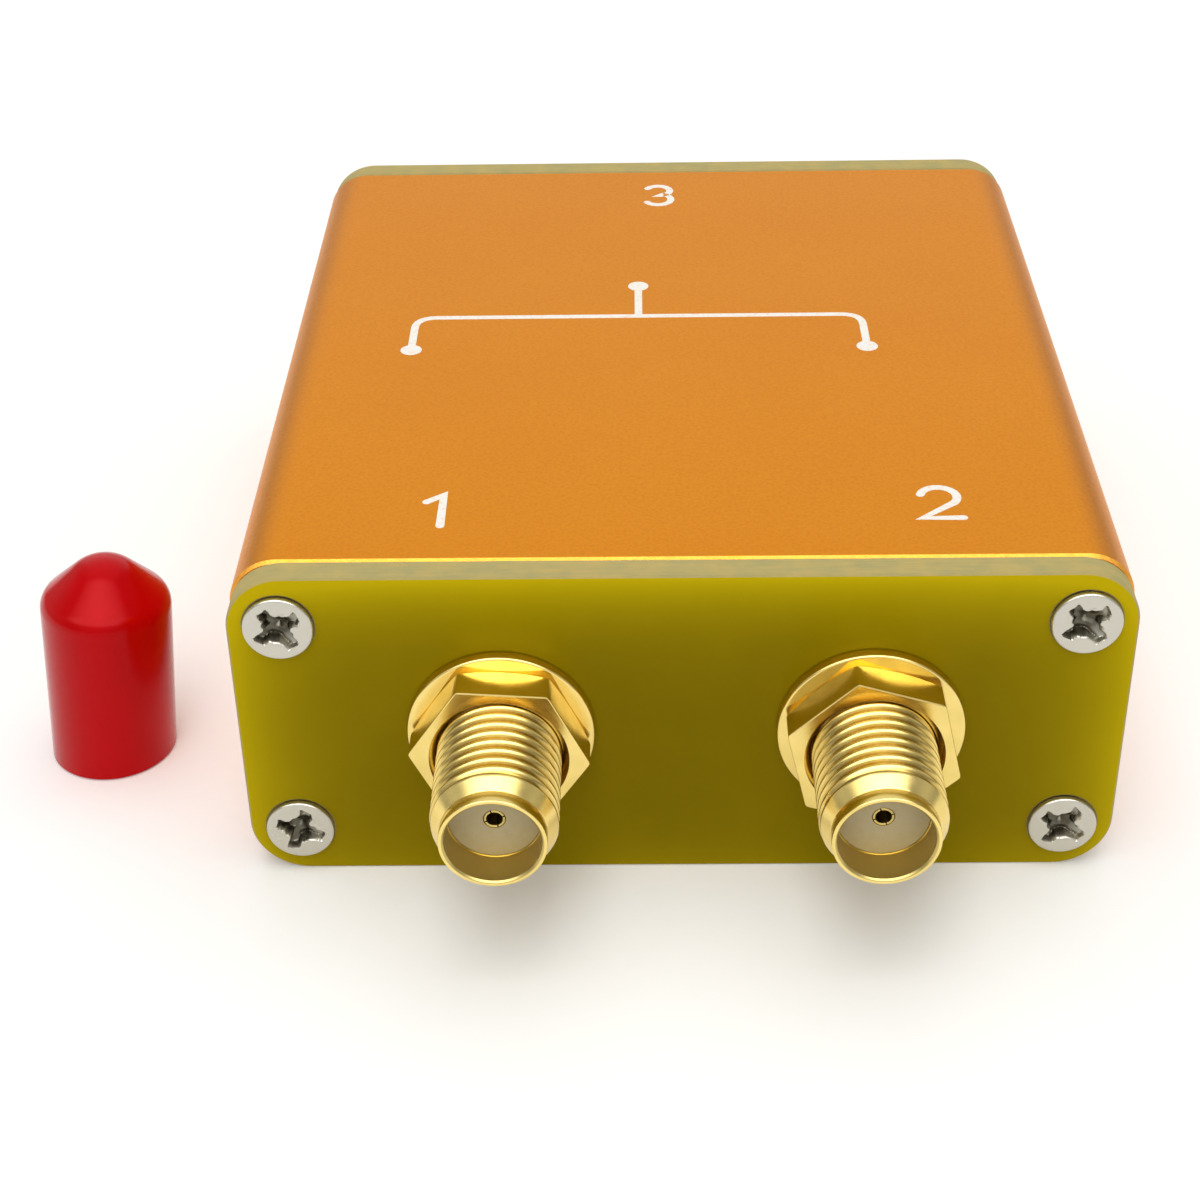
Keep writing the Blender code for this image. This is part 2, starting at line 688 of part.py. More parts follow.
clear_scene()
parts = new_collection("antenna_splitter")
cutters = new_collection("cutters")
left_socket = FRONT_SOCKET_SHIFT - FRONT_SOCKET_PITCH / 2
right_socket = FRONT_SOCKET_SHIFT + FRONT_SOCKET_PITCH / 2
make_case()
make_plate("front_plate", -1, (left_socket, right_socket))
make_plate("rear_plate", 1, (0,))
make_screws()
make_sockets(((left_socket, -1), (right_socket, -1), (0, 1)))
make_board()
make_coils(left_socket, right_socket)
make_chips(left_socket, right_socket)
make_dust_cap()
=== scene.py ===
"""Looks of a small two-band antenna splitter: orange case, laminate ends, gold sockets, red dust cap.

Lengths are metres. +Z is up and the front face looks along -Y, as in the loaded frame.
"""

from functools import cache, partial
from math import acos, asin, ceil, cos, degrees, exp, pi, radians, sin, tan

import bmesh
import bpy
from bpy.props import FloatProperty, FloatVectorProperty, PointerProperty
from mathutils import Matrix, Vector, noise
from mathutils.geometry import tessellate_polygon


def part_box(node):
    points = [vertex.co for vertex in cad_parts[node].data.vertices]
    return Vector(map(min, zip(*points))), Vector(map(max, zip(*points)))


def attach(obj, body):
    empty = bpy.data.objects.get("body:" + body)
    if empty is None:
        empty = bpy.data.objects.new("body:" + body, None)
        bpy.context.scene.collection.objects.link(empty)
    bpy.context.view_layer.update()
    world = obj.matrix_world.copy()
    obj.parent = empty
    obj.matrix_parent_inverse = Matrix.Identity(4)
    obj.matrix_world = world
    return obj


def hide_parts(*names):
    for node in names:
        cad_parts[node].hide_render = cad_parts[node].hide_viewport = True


bl_info = {
    "name": "Antenna Splitter",
    "version": (1, 0, 0),
    "blender": (4, 5, 0),
    "location": "3D View > Sidebar > Splitter",
    "description": "Builds the visible surfaces of a small antenna splitter round its solids",
    "category": "Object",
}

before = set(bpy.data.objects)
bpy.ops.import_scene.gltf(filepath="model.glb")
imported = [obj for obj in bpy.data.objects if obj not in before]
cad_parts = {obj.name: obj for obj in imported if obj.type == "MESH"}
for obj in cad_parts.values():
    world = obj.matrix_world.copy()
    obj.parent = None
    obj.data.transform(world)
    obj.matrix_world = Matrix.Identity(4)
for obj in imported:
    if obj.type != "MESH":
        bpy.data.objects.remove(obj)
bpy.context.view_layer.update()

MM = 0.001
BODY = "root"
TURNING = "turning"
FACING = "facing"

CASE_LOW, CASE_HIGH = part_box("case")
PLATE_LOW, PLATE_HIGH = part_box("front_plate")
PLATE_OUTER = -PLATE_LOW.y
PLATE_THICKNESS = PLATE_HIGH.y - PLATE_LOW.y
CASE_WIDTH = CASE_HIGH.x - CASE_LOW.x
CASE_HEIGHT = CASE_HIGH.z - CASE_LOW.z
CASE_LENGTH = CASE_HIGH.y - CASE_LOW.y
SEAT = CASE_LOW.y - PLATE_HIGH.y
CASE_MIDDLE = CASE_HEIGHT / 2
PORTS = (1, 2, 3)
SCREWS = [f"{end}_screw_{number}" for end in ("front", "rear") for number in (1, 2, 3, 4)]
SCREW_TURNS = (36, 39, 70, 54, 15, 62, 35, 80)
NUT_TURNS = (26, 13, 10)


def middle(node):
    low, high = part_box(node)
    return (low + high) / 2


def label(key):
    return key.replace("_", " ").capitalize()


# Millimetres
SIZES = {
    "case_radius": (2.6, "Outer corner of the extrusion"),
    "case_wall": (1.3, "Thickness of the extrusion's wall"),
    "case_chamfer": (0.16, "Broken edge at the sawn ends"),
    "channel_hole": (0.98, "Radius of a screw channel"),
    "channel_wall": (0.9, "Wall round a screw channel"),
    "channel_mouth": (0.7, "Open side of a screw channel"),
    "guide_depth": (1.3, "How far the board's ribs stand in"),
    "guide_rib": (0.8, "Thickness of a board rib"),
    "guide_clearance": (0.1, "Room above and below the board"),
    "plate_radius": (3.0, "Corner of an end plate"),
    "plate_chamfer": (0.1, "Broken rim of an end plate"),
    "head_edge": (0.3, "Rounding at a screw head's rim"),
    "head_sink": (0.85, "Depth of a screw's cone in the plate"),
    "head_proud": (0.34, "Face of a screw head above the plate"),
    "shank_radius": (0.9, "Screw thread's outer radius"),
    "screw_clearance": (0.08, "Room round a screw in the plate"),
    "recess_reach": (1.3, "Half the span of the cross recess"),
    "recess_width": (0.7, "Width of an arm of the cross recess"),
    "recess_depth": (0.95, "Depth at the middle of the recess"),
    "burr": (0.035, "Height of the lip raised round a recess"),
    "barrel_radius": (3.175, "Crest of a socket's thread"),
    "barrel_reach": (9.3, "Socket's mouth in front of the plate"),
    "mouth_radius": (2.65, "Outer radius of the plain mouth"),
    "mouth_neck": (0.78, "Length of the plain mouth"),
    "mouth_taper": (0.75, "Length of the thread's lead cone"),
    "bore_radius": (2.36, "Inside of the mouth"),
    "bore_depth": (1.9, "From the mouth to the insulator"),
    "disc_rim": (2.3, "Radius of the insulator's front"),
    "disc_step": (0.3, "Thickness of the insulator's wide front"),
    "thread_pitch": (25.4 / 36, "36 turns to the inch"),
    "thread_depth": (0.4, "From crest to root"),
    "flange_side": (8.0, "Square flange behind the plate"),
    "flange_corner": (0.8, "Corner radius of the flange"),
    "flange_thickness": (1.8, "Square flange behind the plate"),
    "leg_side": (0.95, "Thickness of a soldering leg"),
    "leg_offset": (2.55, "From the socket's axis to a leg"),
    "nut_flat": (4.0, "Half the width across flats"),
    "nut_mouth": (3.55, "Radius of the cone at the nut's face"),
    "nut_mouth_depth": (0.35, "Depth of the cone at the nut's face"),
    "contact_front": (0.54, "Radius of the contact's lip in the insulator's front"),
    "contact_gap": (0.02, "Room round the contact's lip"),
    "contact_bore": (0.4, "Radius of the hole in the contact"),
    "contact_slit": (0.07, "Width of the contact's slits"),
    "contact_depth": (3.0, "Depth of the hole in the contact"),
    "contact_tail": (0.45, "Radius of the contact's tail"),
    "cap_rim": (3.5, "Radius at the cap's open end"),
    "cap_shoulder": (3.6, "Radius where the cap's wall ends"),
    "cap_height": (9.4, "From the rim to the shoulder's rounding"),
    "cap_round": (1.3, "Radius between wall and cone"),
    "cap_tip": (2.5, "Radius of the rounded top"),
    "cap_wall": (0.4, "Thickness of the dipped cap"),
    "print_line": (0.45, "Width of a printed stroke"),
}
COLOURS = {
    "orange": ((0.84, 0.305, 0.005), "Dyed anodised skin"),
    "orange_deep": ((0.76, 0.255, 0.002), "Pores of the anodised skin"),
    "cut_metal": ((0.86, 0.40, 0.06), "Sawn edge of the case"),
    "laminate": ((0.185, 0.130, 0.001), "Middle of an end plate"),
    # Painted glow: the plate's rim is painted brighter, for light that enters its cut edges
    "laminate_lit": ((0.56, 0.42, 0.003), "Rim of an end plate, where light enters"),
    "laminate_cut": ((0.48, 0.37, 0.13), "Matt cut edge of an end plate"),
    "laminate_fibre": ((0.38, 0.33, 0.135), "Glass layers in the cut edge"),
    "nickel": ((0.58, 0.555, 0.48), "Screws"),
    # Dirt and painted shade at the bottom of a screw's recess
    "grime": ((0.13, 0.12, 0.09), "Bottom of a screw's recess"),
    "gold": ((0.92, 0.71, 0.245), "Sockets, nuts and washers"),
    "gold_shade": ((0.80, 0.61, 0.19), "Thin places in the gold plate"),
    # Painted shade: a darker gold for the inside of the sockets' mouths and the contacts
    "gold_bore": ((0.56, 0.44, 0.155), "Dull inside of the sockets' mouths"),
    # Oil and painted shade in the grooves of the threads
    "gold_deep": ((0.34, 0.19, 0.02), "Oily grooves of the threads"),
    "fluoroplastic": ((0.53, 0.45, 0.28), "Insulators"),
    "board": ((0.02, 0.16, 0.06), "Solder mask of the board"),
    "enamel": ((0.55, 0.19, 0.06), "Coil wire"),
    "chip": ((0.42, 0.30, 0.20), "Chip capacitors"),
    "red": ((0.46, 0.0, 0.001), "Dipped vinyl cap"),
    "red_thin": ((0.53, 0.0, 0.003), "Where the cap's skin is thin"),
    "print_white": ((0.86, 0.83, 0.76), "Numerals and line"),
    "floor": ((0.89, 0.885, 0.865), "Table"),
}


class SplitterSizes(bpy.types.PropertyGroup):
    """Sizes of the visible pieces."""

    __annotations__ = {
        key: FloatProperty(name=label(key), description=about, default=size * MM, unit="LENGTH", precision=5)
        for key, (size, about) in SIZES.items()
    }


class SplitterColours(bpy.types.PropertyGroup):
    """Colours of the finishes."""

    __annotations__ = {
        key: FloatVectorProperty(
            name=label(key), description=about, default=(*rgb, 1), size=4, min=0, max=1, subtype="COLOR"
        )
        for key, (rgb, about) in COLOURS.items()
    }


def sizes():
    return bpy.context.scene.splitter_sizes


def colours():
    return bpy.context.scene.splitter_colours


# Node trees


def node(tree, kind, inputs=None, **settings):
    """A new node. An input is a value or the socket of another node."""
    made = tree.nodes.new(kind)
    for key, value in settings.items():
        setattr(made, key, value)
    for key, value in (inputs or {}).items():
        if isinstance(value, bpy.types.NodeSocket):
            tree.links.new(value, made.inputs[key])
        else:
            made.inputs[key].default_value = value
    return made


def math(tree, operation, *values, clamp=False):
    made = node(tree, "ShaderNodeMath", dict(enumerate(values)), operation=operation, use_clamp=clamp)
    return made.outputs[0]


def blend(tree, share, first, second):
    """`first` where share is 0 and `second` where it is 1, as numbers."""
    made = node(tree, "ShaderNodeMix", {0: share, 2: first, 3: second}, data_type="FLOAT")
    return made.outputs[0]


def blend_colours(tree, share, first, second):
    made = node(tree, "ShaderNodeMix", {0: share, 6: first, 7: second}, data_type="RGBA")
    return made.outputs[2]


def object_place(tree, scale=(1, 1, 1)):
    """Object coordinates, stretched by a scale on each axis."""
    place = node(tree, "ShaderNodeTexCoord").outputs["Object"]
    return node(tree, "ShaderNodeMapping", {"Vector": place, "Scale": scale}).outputs["Vector"]


def parts(tree, vector):
    """The X, Y and Z of a vector."""
    return node(tree, "ShaderNodeSeparateXYZ", {0: vector}).outputs


def turning(tree):
    """Where a point lies round a turned surface, and along its profile in millimetres."""
    return node(tree, "ShaderNodeAttribute", attribute_name=TURNING).outputs["Vector"]


def noise_at(tree, place, scale, detail, roughness):
    inputs = {"Vector": place, "Scale": scale, "Detail": detail, "Roughness": roughness}
    return node(tree, "ShaderNodeTexNoise", inputs).outputs[0]


def cloud(tree, scale, detail=2, roughness=0.5):
    """Noise on Object coordinates. A scale of three numbers stretches it."""
    if isinstance(scale, tuple):
        return noise_at(tree, object_place(tree, scale), 1, detail, roughness)
    return noise_at(tree, object_place(tree), scale, detail, roughness)


def tool_rings(tree, round_scale, along_scale, detail=2, roughness=0.5):
    """Noise that follows a turned surface."""
    inputs = {"Vector": turning(tree), "Scale": (round_scale, round_scale, along_scale)}
    place = node(tree, "ShaderNodeMapping", inputs).outputs["Vector"]
    return noise_at(tree, place, 1, detail, roughness)


def spread(tree, value, low, high, out_low=0, out_high=1):
    """The value between low and high, moved to between out_low and out_high."""
    inputs = {0: value, 1: low, 2: high, 3: out_low, 4: out_high}
    return node(tree, "ShaderNodeMapRange", inputs).outputs[0]


def relief(tree, height, distance, under=None):
    """A bump of that height. It may lie over another one."""
    inputs = {"Height": height, "Distance": distance, "Strength": 1}
    if under:
        inputs["Normal"] = under
    return node(tree, "ShaderNodeBump", inputs).outputs["Normal"]


def new_finish(name, base, roughness, metallic=0, **sockets):
    """A material with its constant values, and the tree to add patterns to."""
    made = bpy.data.materials.new(name)
    made.use_nodes = True
    shader = made.node_tree.nodes["Principled BSDF"]
    values = {"Base Color": base, "Roughness": roughness, "Metallic": metallic}
    values.update({key.replace("_", " "): value for key, value in sockets.items()})
    for key, value in values.items():
        shader.inputs[key].default_value = value
    made.diffuse_color = base
    return made, made.node_tree


def dress(made, tone=None, gloss=None, *bumps):
    """Drives a material's colour by (share, first, second), its roughness by (pattern, span, start)
    and its relief by (pattern, millimetres), each bump over the one before."""
    tree = made.node_tree
    sockets = tree.nodes["Principled BSDF"].inputs
    if tone:
        tree.links.new(blend_colours(tree, *tone), sockets["Base Color"])
    if gloss:
        tree.links.new(math(tree, "MULTIPLY_ADD", *gloss), sockets["Roughness"])
    normal = None
    for height, depth in bumps:
        normal = relief(tree, height, depth * MM, normal)
    if normal:
        tree.links.new(normal, sockets["Normal"])
    return made


# Finishes


def anodised():
    """Dyed, fine-blasted skin with faint drawing lines along the extrusion."""
    c = colours()
    made, tree = new_finish("anodised_orange", c.orange, 0.42, 0.92)
    grain = cloud(tree, 5200, 3, 0.6)
    lines = cloud(tree, (1500, 18, 1500))
    pores = math(tree, "MULTIPLY", spread(tree, grain, 0.42, 0.68), 0.6)
    tone = math(tree, "MULTIPLY_ADD", cloud(tree, 140, 3), 0.5, pores)
    return dress(made, (tone, c.orange, c.orange_deep), (grain, 0.16, 0.34), (lines, 0.0012), (grain, 0.012))


def cut_metal():
    """Sawn and deburred edge, bright in some places."""
    c = colours()
    made, tree = new_finish("cut_metal", c.cut_metal, 0.3, 1)
    burrs = cloud(tree, 2400, 4, 0.7)
    glints = spread(tree, burrs, 0.22, 0.46)
    return dress(made, (glints, c.orange, c.cut_metal), (burrs, 0.3, 0.35), (burrs, 0.06))


# Reach and share of the painted glow near the plate's top, sides and foot
GLOW_TOP = (1.9 * MM, 1.05)
GLOW_SIDE = (2.4 * MM, 0.75)
GLOW_FOOT = (1.5 * MM, 0.3)
WEAVE_WIDTH = 0.5 * MM
WEAVE_HEIGHT = 0.42 * MM


def laminate_face():
    """Glossy face with a painted glow: the rim is painted brighter than the middle, for light that enters at
    the cut edges.
    """
    c = colours()
    made, tree = new_finish(
        "laminate_face", c.laminate, 0.16, 0, Specular_IOR_Level=0.1, Specular_Tint=(1, 0.8, 0, 1)
    )
    place = parts(tree, object_place(tree))
    from_side = math(tree, "SUBTRACT", CASE_WIDTH / 2, math(tree, "ABSOLUTE", place["X"]))
    from_top = math(tree, "SUBTRACT", CASE_HEIGHT, place["Z"])
    # Painted glow: the colour gets lighter towards the top, the sides and the foot of the plate
    glow = 0
    for distance, (reach, share) in ((from_top, GLOW_TOP), (from_side, GLOW_SIDE), (place["Z"], GLOW_FOOT)):
        fade = math(tree, "EXPONENT", math(tree, "DIVIDE", distance, -reach))
        glow = math(tree, "MULTIPLY_ADD", fade, share, glow)
    patches = cloud(tree, 220, 3)
    glow = math(tree, "MULTIPLY_ADD", patches, 0.1, glow, clamp=True)
    waves = [
        math(tree, "SINE", math(tree, "MULTIPLY", place[axis], 2 * pi / size))
        for axis, size in (("X", WEAVE_WIDTH), ("Z", WEAVE_HEIGHT))
    ]
    weave = math(tree, "MULTIPLY", *waves)
    return dress(made, (glow, c.laminate, c.laminate_lit), (patches, 0.14, 0.1), (weave, 0.0006))


def laminate_edge():
    """Matt cut edge with its layers of glass cloth."""
    c = colours()
    made, tree = new_finish("laminate_edge", c.laminate_cut, 0.8, 0, Specular_IOR_Level=0.25)
    layers = cloud(tree, (380, 4200, 380), 3, 0.6)
    crumbs = cloud(tree, 3800, 3, 0.7)
    tone = spread(tree, math(tree, "ADD", layers, cloud(tree, 900)), 0.75, 1.25)
    return dress(made, (tone, c.laminate_cut, c.laminate_fibre), None, (layers, 0.02), (crumbs, 0.02))


# Depths and reach over which the recess is painted dark: dirt and painted shade
DIRT_AND_SHADE_DEPTHS = (0.1 * MM, 0.5 * MM)
DIRT_AND_SHADE_REACH = 0.85


def nickel():
    """Plated steel with soft dents and fine scratches; the bottom of the recess is painted dark, as dirt and
    painted shade.
    """
    c = colours()
    s = sizes()
    made, tree = new_finish("bright_nickel", c.nickel, 0.3, 1)
    dents = cloud(tree, 1500)
    scratches = tool_rings(tree, 1.5, 40, 3)
    out = math(tree, "ABSOLUTE", parts(tree, object_place(tree))["Y"])
    sunk = math(tree, "SUBTRACT", PLATE_OUTER + s.head_proud, out)
    travel = parts(tree, turning(tree))["Z"]
    on_face = math(tree, "LESS_THAN", travel, (s.recess_reach + s.recess_width) / MM * DIRT_AND_SHADE_REACH)
    # Dirt and painted shade: the bottom of the recess is painted darker
    grime = math(tree, "MULTIPLY", on_face, spread(tree, sunk, *DIRT_AND_SHADE_DEPTHS))
    return dress(made, (grime, c.nickel, c.grime), (dents, 0.26, 0.18), (scratches, 0.0008), (dents, 0.02))


def gold(name="turned_gold", bright="gold", stained="gold_shade", gloss=0.1):
    """Gold over turned brass: faint tool rings, small stains and handling marks."""
    bright = getattr(colours(), bright)
    stained = getattr(colours(), stained)
    made, tree = new_finish(name, bright, 0.2, 1)
    rings = tool_rings(tree, 0.4, 26, 2, 0.6)
    marks = cloud(tree, 900, 3)
    stains = spread(tree, cloud(tree, 420), 0.4, 0.7)
    return dress(made, (stains, bright, stained), (marks, 0.22, gloss), (marks, 0.004), (rings, 0.0018))


def bore_gold():
    """Duller gold, painted darker as shade inside the mouths and on the contacts."""
    return gold("bore_gold", "gold_bore", "gold_bore", 0.22)


def thread_gold():
    """The same gold with the grooves between the crests painted dark: oil, and painted shade."""
    made = gold("thread_gold")
    tree = made.node_tree
    plain = tree.nodes["Principled BSDF"].inputs["Base Color"].links[0].from_socket
    # Painted shade with oil: the colour gets darker from the crest towards the root
    sunk = spread(tree, parts(tree, turning(tree))["Z"], 0.05, 0.65)
    smears = spread(tree, cloud(tree, 700, 3), 0.3, 0.5, 0.75, 1)
    return dress(made, (math(tree, "MULTIPLY", sunk, smears), plain, colours().gold_deep))


def fluoroplastic():
    """Waxy off-white disc with tool rings."""
    c = colours()
    made, tree = new_finish("turned_fluoroplastic", c.fluoroplastic, 0.5, 0, Specular_IOR_Level=0.3)
    rings = tool_rings(tree, 0.3, 18)
    specks = cloud(tree, 2600, 3)
    tone = spread(tree, specks, 0.4, 0.75, 0, 0.35)
    return dress(made, (tone, c.fluoroplastic, c.laminate_cut), None, (specks, 0.004), (rings, 0.003))


def vinyl():
    """Dipped cap: glossy, slightly wavy, and lighter where the skin is thin."""
    c = colours()
    made, tree = new_finish(
        "red_vinyl", c.red, 0.2, 0, Specular_IOR_Level=0.4, Specular_Tint=(1, 0.2, 0.22, 1)
    )
    flow = cloud(tree, (260, 260, 90))
    skin = cloud(tree, 2600)
    tone = spread(tree, flow, 0.4, 0.7)
    return dress(made, (tone, c.red, c.red_thin), (skin, 0.1, 0.12), (skin, 0.0012), (flow, 0.03))


def solder_mask():
    """Green board, with the glass cloth just showing."""
    made, tree = new_finish("solder_mask", colours().board, 0.3)
    return dress(made, None, None, (cloud(tree, 1800), 0.004))


def enamel():
    """Varnished copper wire."""
    made, tree = new_finish("wire_enamel", colours().enamel, 0.25, 1)
    return dress(made, None, (cloud(tree, 2200), 0.2, 0.15))


def chip_ceramic():
    """Brown, slightly grainy body."""
    made, tree = new_finish("chip_ceramic", colours().chip, 0.45)
    return dress(made, None, None, (cloud(tree, 5000), 0.006))


def white_print():
    """Screen-printed ink, a little uneven."""
    c = colours()
    made, tree = new_finish("white_print", c.print_white, 0.55, 0, Specular_IOR_Level=0.3)
    ink = cloud(tree, 4200, 3)
    tone = spread(tree, ink, 0.5, 0.8, 0, 0.4)
    return dress(made, (tone, c.print_white, c.orange), None, (ink, 0.004))


@cache
def finish(maker):
    """The material of that maker, made once."""
    return maker()


# Shapes


def spin(angle, axis):
    """A turn by an angle in degrees."""
    return Matrix.Rotation(radians(angle), 4, axis)


def facing(x, z, side, turn=0):
    """Puts a shape made about Z on an end plate, with its +Z pointing out of the front (-1) or rear (1)."""
    out = spin(-90 * side, "X")
    return Matrix.Translation((x, side * PLATE_OUTER, z)) @ out @ spin(turn, "Z")


def node_facing(name, turn=0):
    spot = middle(name)
    return facing(spot.x, spot.z, -1 if spot.y < 0 else 1, turn)


def shade(mesh, angle=32):
    mesh.shade_smooth()
    mesh.set_sharp_from_angle(angle=radians(angle))
    return mesh


def second_finish(mesh, holds):
    """Gives the faces for which it holds the mesh's second material."""
    for face in mesh.polygons:
        face.material_index = int(holds(face))
    return mesh


def arc(centre, radius, start, end, steps):
    turns = [radians(start + (end - start) * i / steps) for i in range(steps + 1)]
    return [(centre[0] + radius * cos(turn), centre[1] + radius * sin(turn)) for turn in turns]


def softened(profile, radius=0, closed=False, steps=3):
    """The profile with its corners rounded. A third number at a point is that corner's own radius."""
    points = [Vector(point[:2]) for point in profile]
    made = []
    for i, corner in enumerate(points):
        own = profile[i][2] if len(profile[i]) > 2 else radius
        if own == 0 or (not closed and i in (0, len(points) - 1)):
            made.append(tuple(corner))
            continue
        before = points[i - 1] - corner
        after = points[(i + 1) % len(points)] - corner
        reach = min(own, 0.45 * before.length, 0.45 * after.length)
        first = corner + before.normalized() * reach
        last = corner + after.normalized() * reach
        for step in range(steps + 1):
            share = step / steps
            point = first.lerp(corner, share).lerp(corner.lerp(last, share), share)
            made.append(tuple(point))
    return made


def poured(shape, name):
    """The bmesh as a mesh. The bmesh is freed."""
    mesh = bpy.data.meshes.new(name)
    shape.to_mesh(mesh)
    shape.free()
    return mesh


def turned(name, rows, closed=False, columns=96, bend=None):
    """Rows joined round the Z axis. A row is (radius, height), or a function of the turn that gives it."""
    shape = bmesh.new()
    layer = shape.verts.layers.float_vector.new(TURNING)
    turns = [2 * pi * column / columns for column in range(columns)]
    rings = []
    travel = 0
    for row in rows:
        places = [row(turn) if callable(row) else row for turn in turns]
        if rings:
            travel += (Vector(places[0]) - Vector(last)).length / MM
        last = places[0]
        ring = []
        for turn, (radius, height) in zip(turns, places):
            point = Vector((radius * cos(turn), radius * sin(turn), height))
            vert = shape.verts.new(bend(point) if bend else point)
            vert[layer] = (cos(turn), sin(turn), travel)
            ring.append(vert)
        rings.append(ring)
    pairs = list(zip(rings, rings[1:]))
    if closed:
        pairs.append((rings[-1], rings[0]))
    for upper, lower in pairs:
        for i in range(columns):
            j = (i + 1) % columns
            shape.faces.new((upper[i], upper[j], lower[j], lower[i]))
    bmesh.ops.remove_doubles(shape, verts=shape.verts, dist=0.0001 * MM)
    bmesh.ops.recalc_face_normals(shape, faces=shape.faces)
    return shade(poured(shape, name))


def plain_mesh(obj, name):
    """The object's evaluated shape as a mesh of its own. The object is removed."""
    bpy.context.view_layer.update()
    graph = bpy.context.evaluated_depsgraph_get()
    mesh = bpy.data.meshes.new_from_object(obj.evaluated_get(graph))
    mesh.name = name
    bpy.data.objects.remove(obj, do_unlink=True)
    return mesh


def linked(name, data):
    obj = bpy.data.objects.new(name, data)
    bpy.context.scene.collection.objects.link(obj)
    return obj


def cut(name, mesh, tools):
    """The mesh cut by each (mesh, matrix) tool."""
    work = linked(name, mesh)
    helpers = []
    for number, (tool, matrix) in enumerate(tools):
        helper = linked(f"{name}_tool_{number}", tool)
        helper.matrix_world = matrix
        helpers.append(helper)
        step = work.modifiers.new(f"cut_{number}", "BOOLEAN")
        step.operation = "DIFFERENCE"
        step.object = helper
    made = plain_mesh(work, name)
    for helper in helpers:
        bpy.data.objects.remove(helper, do_unlink=True)
    return made


def stacked(name, loops):
    """A closed shape between two flat faces. Each loop, the first one outside and the rest holes,
    is a list of rings of (x, y) and their height, from the lower face to the upper one."""
    shape = bmesh.new()
    faces = ([], [])
    for rings in loops:
        made = [[shape.verts.new((x, y, height)) for x, y in ring] for ring, height in rings]
        for lower, upper in zip(made, made[1:]):
            for i in range(len(lower)):
                j = (i + 1) % len(lower)
                shape.faces.new((lower[i], lower[j], upper[j], upper[i]))
        faces[0].append(made[0])
        faces[1].append(made[-1])
    for rings in faces:
        corners = [vert for ring in rings for vert in ring]
        for triangle in tessellate_polygon([[vert.co for vert in ring] for ring in rings]):
            shape.faces.new([corners[i] for i in triangle])
    bmesh.ops.recalc_face_normals(shape, faces=shape.faces)
    return shade(poured(shape, name))


def straight(outline, depth):
    """The two rings of an upright wall, `depth` tall about height 0."""
    return [(outline, -depth / 2), (outline, depth / 2)]


def rim(radius, depth, chamfer):
    """The rings of the case's outside, with both its edges broken."""
    small = rounded_rectangle(CASE_WIDTH - 2 * chamfer, CASE_HEIGHT - 2 * chamfer, radius - chamfer, 18)
    full = rounded_rectangle(CASE_WIDTH, CASE_HEIGHT, radius, 18)
    low = depth / 2 - chamfer
    return [(small, -depth / 2), (full, -low), (full, low), (small, depth / 2)]


def block(name, size, centre):
    shape = bmesh.new()
    bmesh.ops.create_cube(shape, size=1)
    bmesh.ops.scale(shape, verts=shape.verts, vec=size)
    bmesh.ops.translate(shape, verts=shape.verts, vec=centre)
    return poured(shape, name)


def joined(name, meshes):
    """Several meshes as one, each kept a closed surface of its own."""
    shape = bmesh.new()
    for mesh in meshes:
        shape.from_mesh(mesh)
    return shade(poured(shape, name))


def rounded_rectangle(width, height, radius, steps):
    """Its outline. A short straight at each end of a corner keeps the sides flat when they are shaded."""
    points = []
    lead = radius / 10
    for quarter, (sx, sy) in enumerate(((1, 1), (-1, 1), (-1, -1), (1, -1))):
        centre = (sx * (width / 2 - radius), sy * (height / 2 - radius))
        corner = arc(centre, radius, 90 * quarter, 90 * quarter + 90, steps)
        way = Vector((cos(pi / 2 * quarter), sin(pi / 2 * quarter)))
        before = Vector(corner[0]) - way.orthogonal() * lead
        after = Vector(corner[-1]) - way * lead
        points += [tuple(before), *corner, tuple(after)]
    return points


def circle(x, y, radius, steps=64):
    return arc((x, y), radius, 0, 360, steps)[:-1]


def add_piece(name, mesh, makers, replaced=(), place=None):
    """A finished piece at the origin, riding on the object's body and standing for its CAD nodes."""
    if place:
        mesh.transform(place)
    for maker in makers:
        mesh.materials.append(finish(maker))
    piece = linked(name, mesh)
    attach(piece, BODY)
    if replaced:
        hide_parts(*replaced)
    return piece


# Case


def channel_outline():
    """One corner of the hollow, from the top wall round the open screw channel to the side wall."""
    s = sizes()
    screw = middle("front_screw_2")
    centre = (screw.x, screw.z - CASE_MIDDLE)
    boss = s.channel_hole + s.channel_wall
    to_side = CASE_WIDTH / 2 - s.case_wall - centre[0]
    to_top = CASE_HEIGHT / 2 - s.case_wall - centre[1]
    start = 180 - degrees(asin(to_top / boss))
    end = 360 - degrees(acos(to_side / boss))
    middle_turn = 225
    at_boss = degrees(asin(s.channel_mouth / 2 / boss))
    at_hole = degrees(asin(s.channel_mouth / 2 / s.channel_hole))
    outline = arc(centre, boss, start, middle_turn - at_boss, 10)
    outline += arc(centre, s.channel_hole, middle_turn - at_hole, middle_turn + at_hole - 360, 32)
    outline += arc(centre, boss, middle_turn + at_boss, end, 10)
    return outline


def guide_outline():
    """The ribs of the board's slot on the right side wall, from top to bottom, about the case's middle."""
    s = sizes()
    low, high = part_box("circuit_board")
    wall = CASE_WIDTH / 2 - s.case_wall
    tip = wall - s.guide_depth
    top = high.z + s.guide_clearance - CASE_MIDDLE
    bottom = low.z - s.guide_clearance - CASE_MIDDLE
    return [
        (wall, top + s.guide_rib),
        (tip, top + s.guide_rib),
        (tip, top),
        (wall, top),
        (wall, bottom),
        (tip, bottom),
        (tip, bottom - s.guide_rib),
        (wall, bottom - s.guide_rib),
    ]


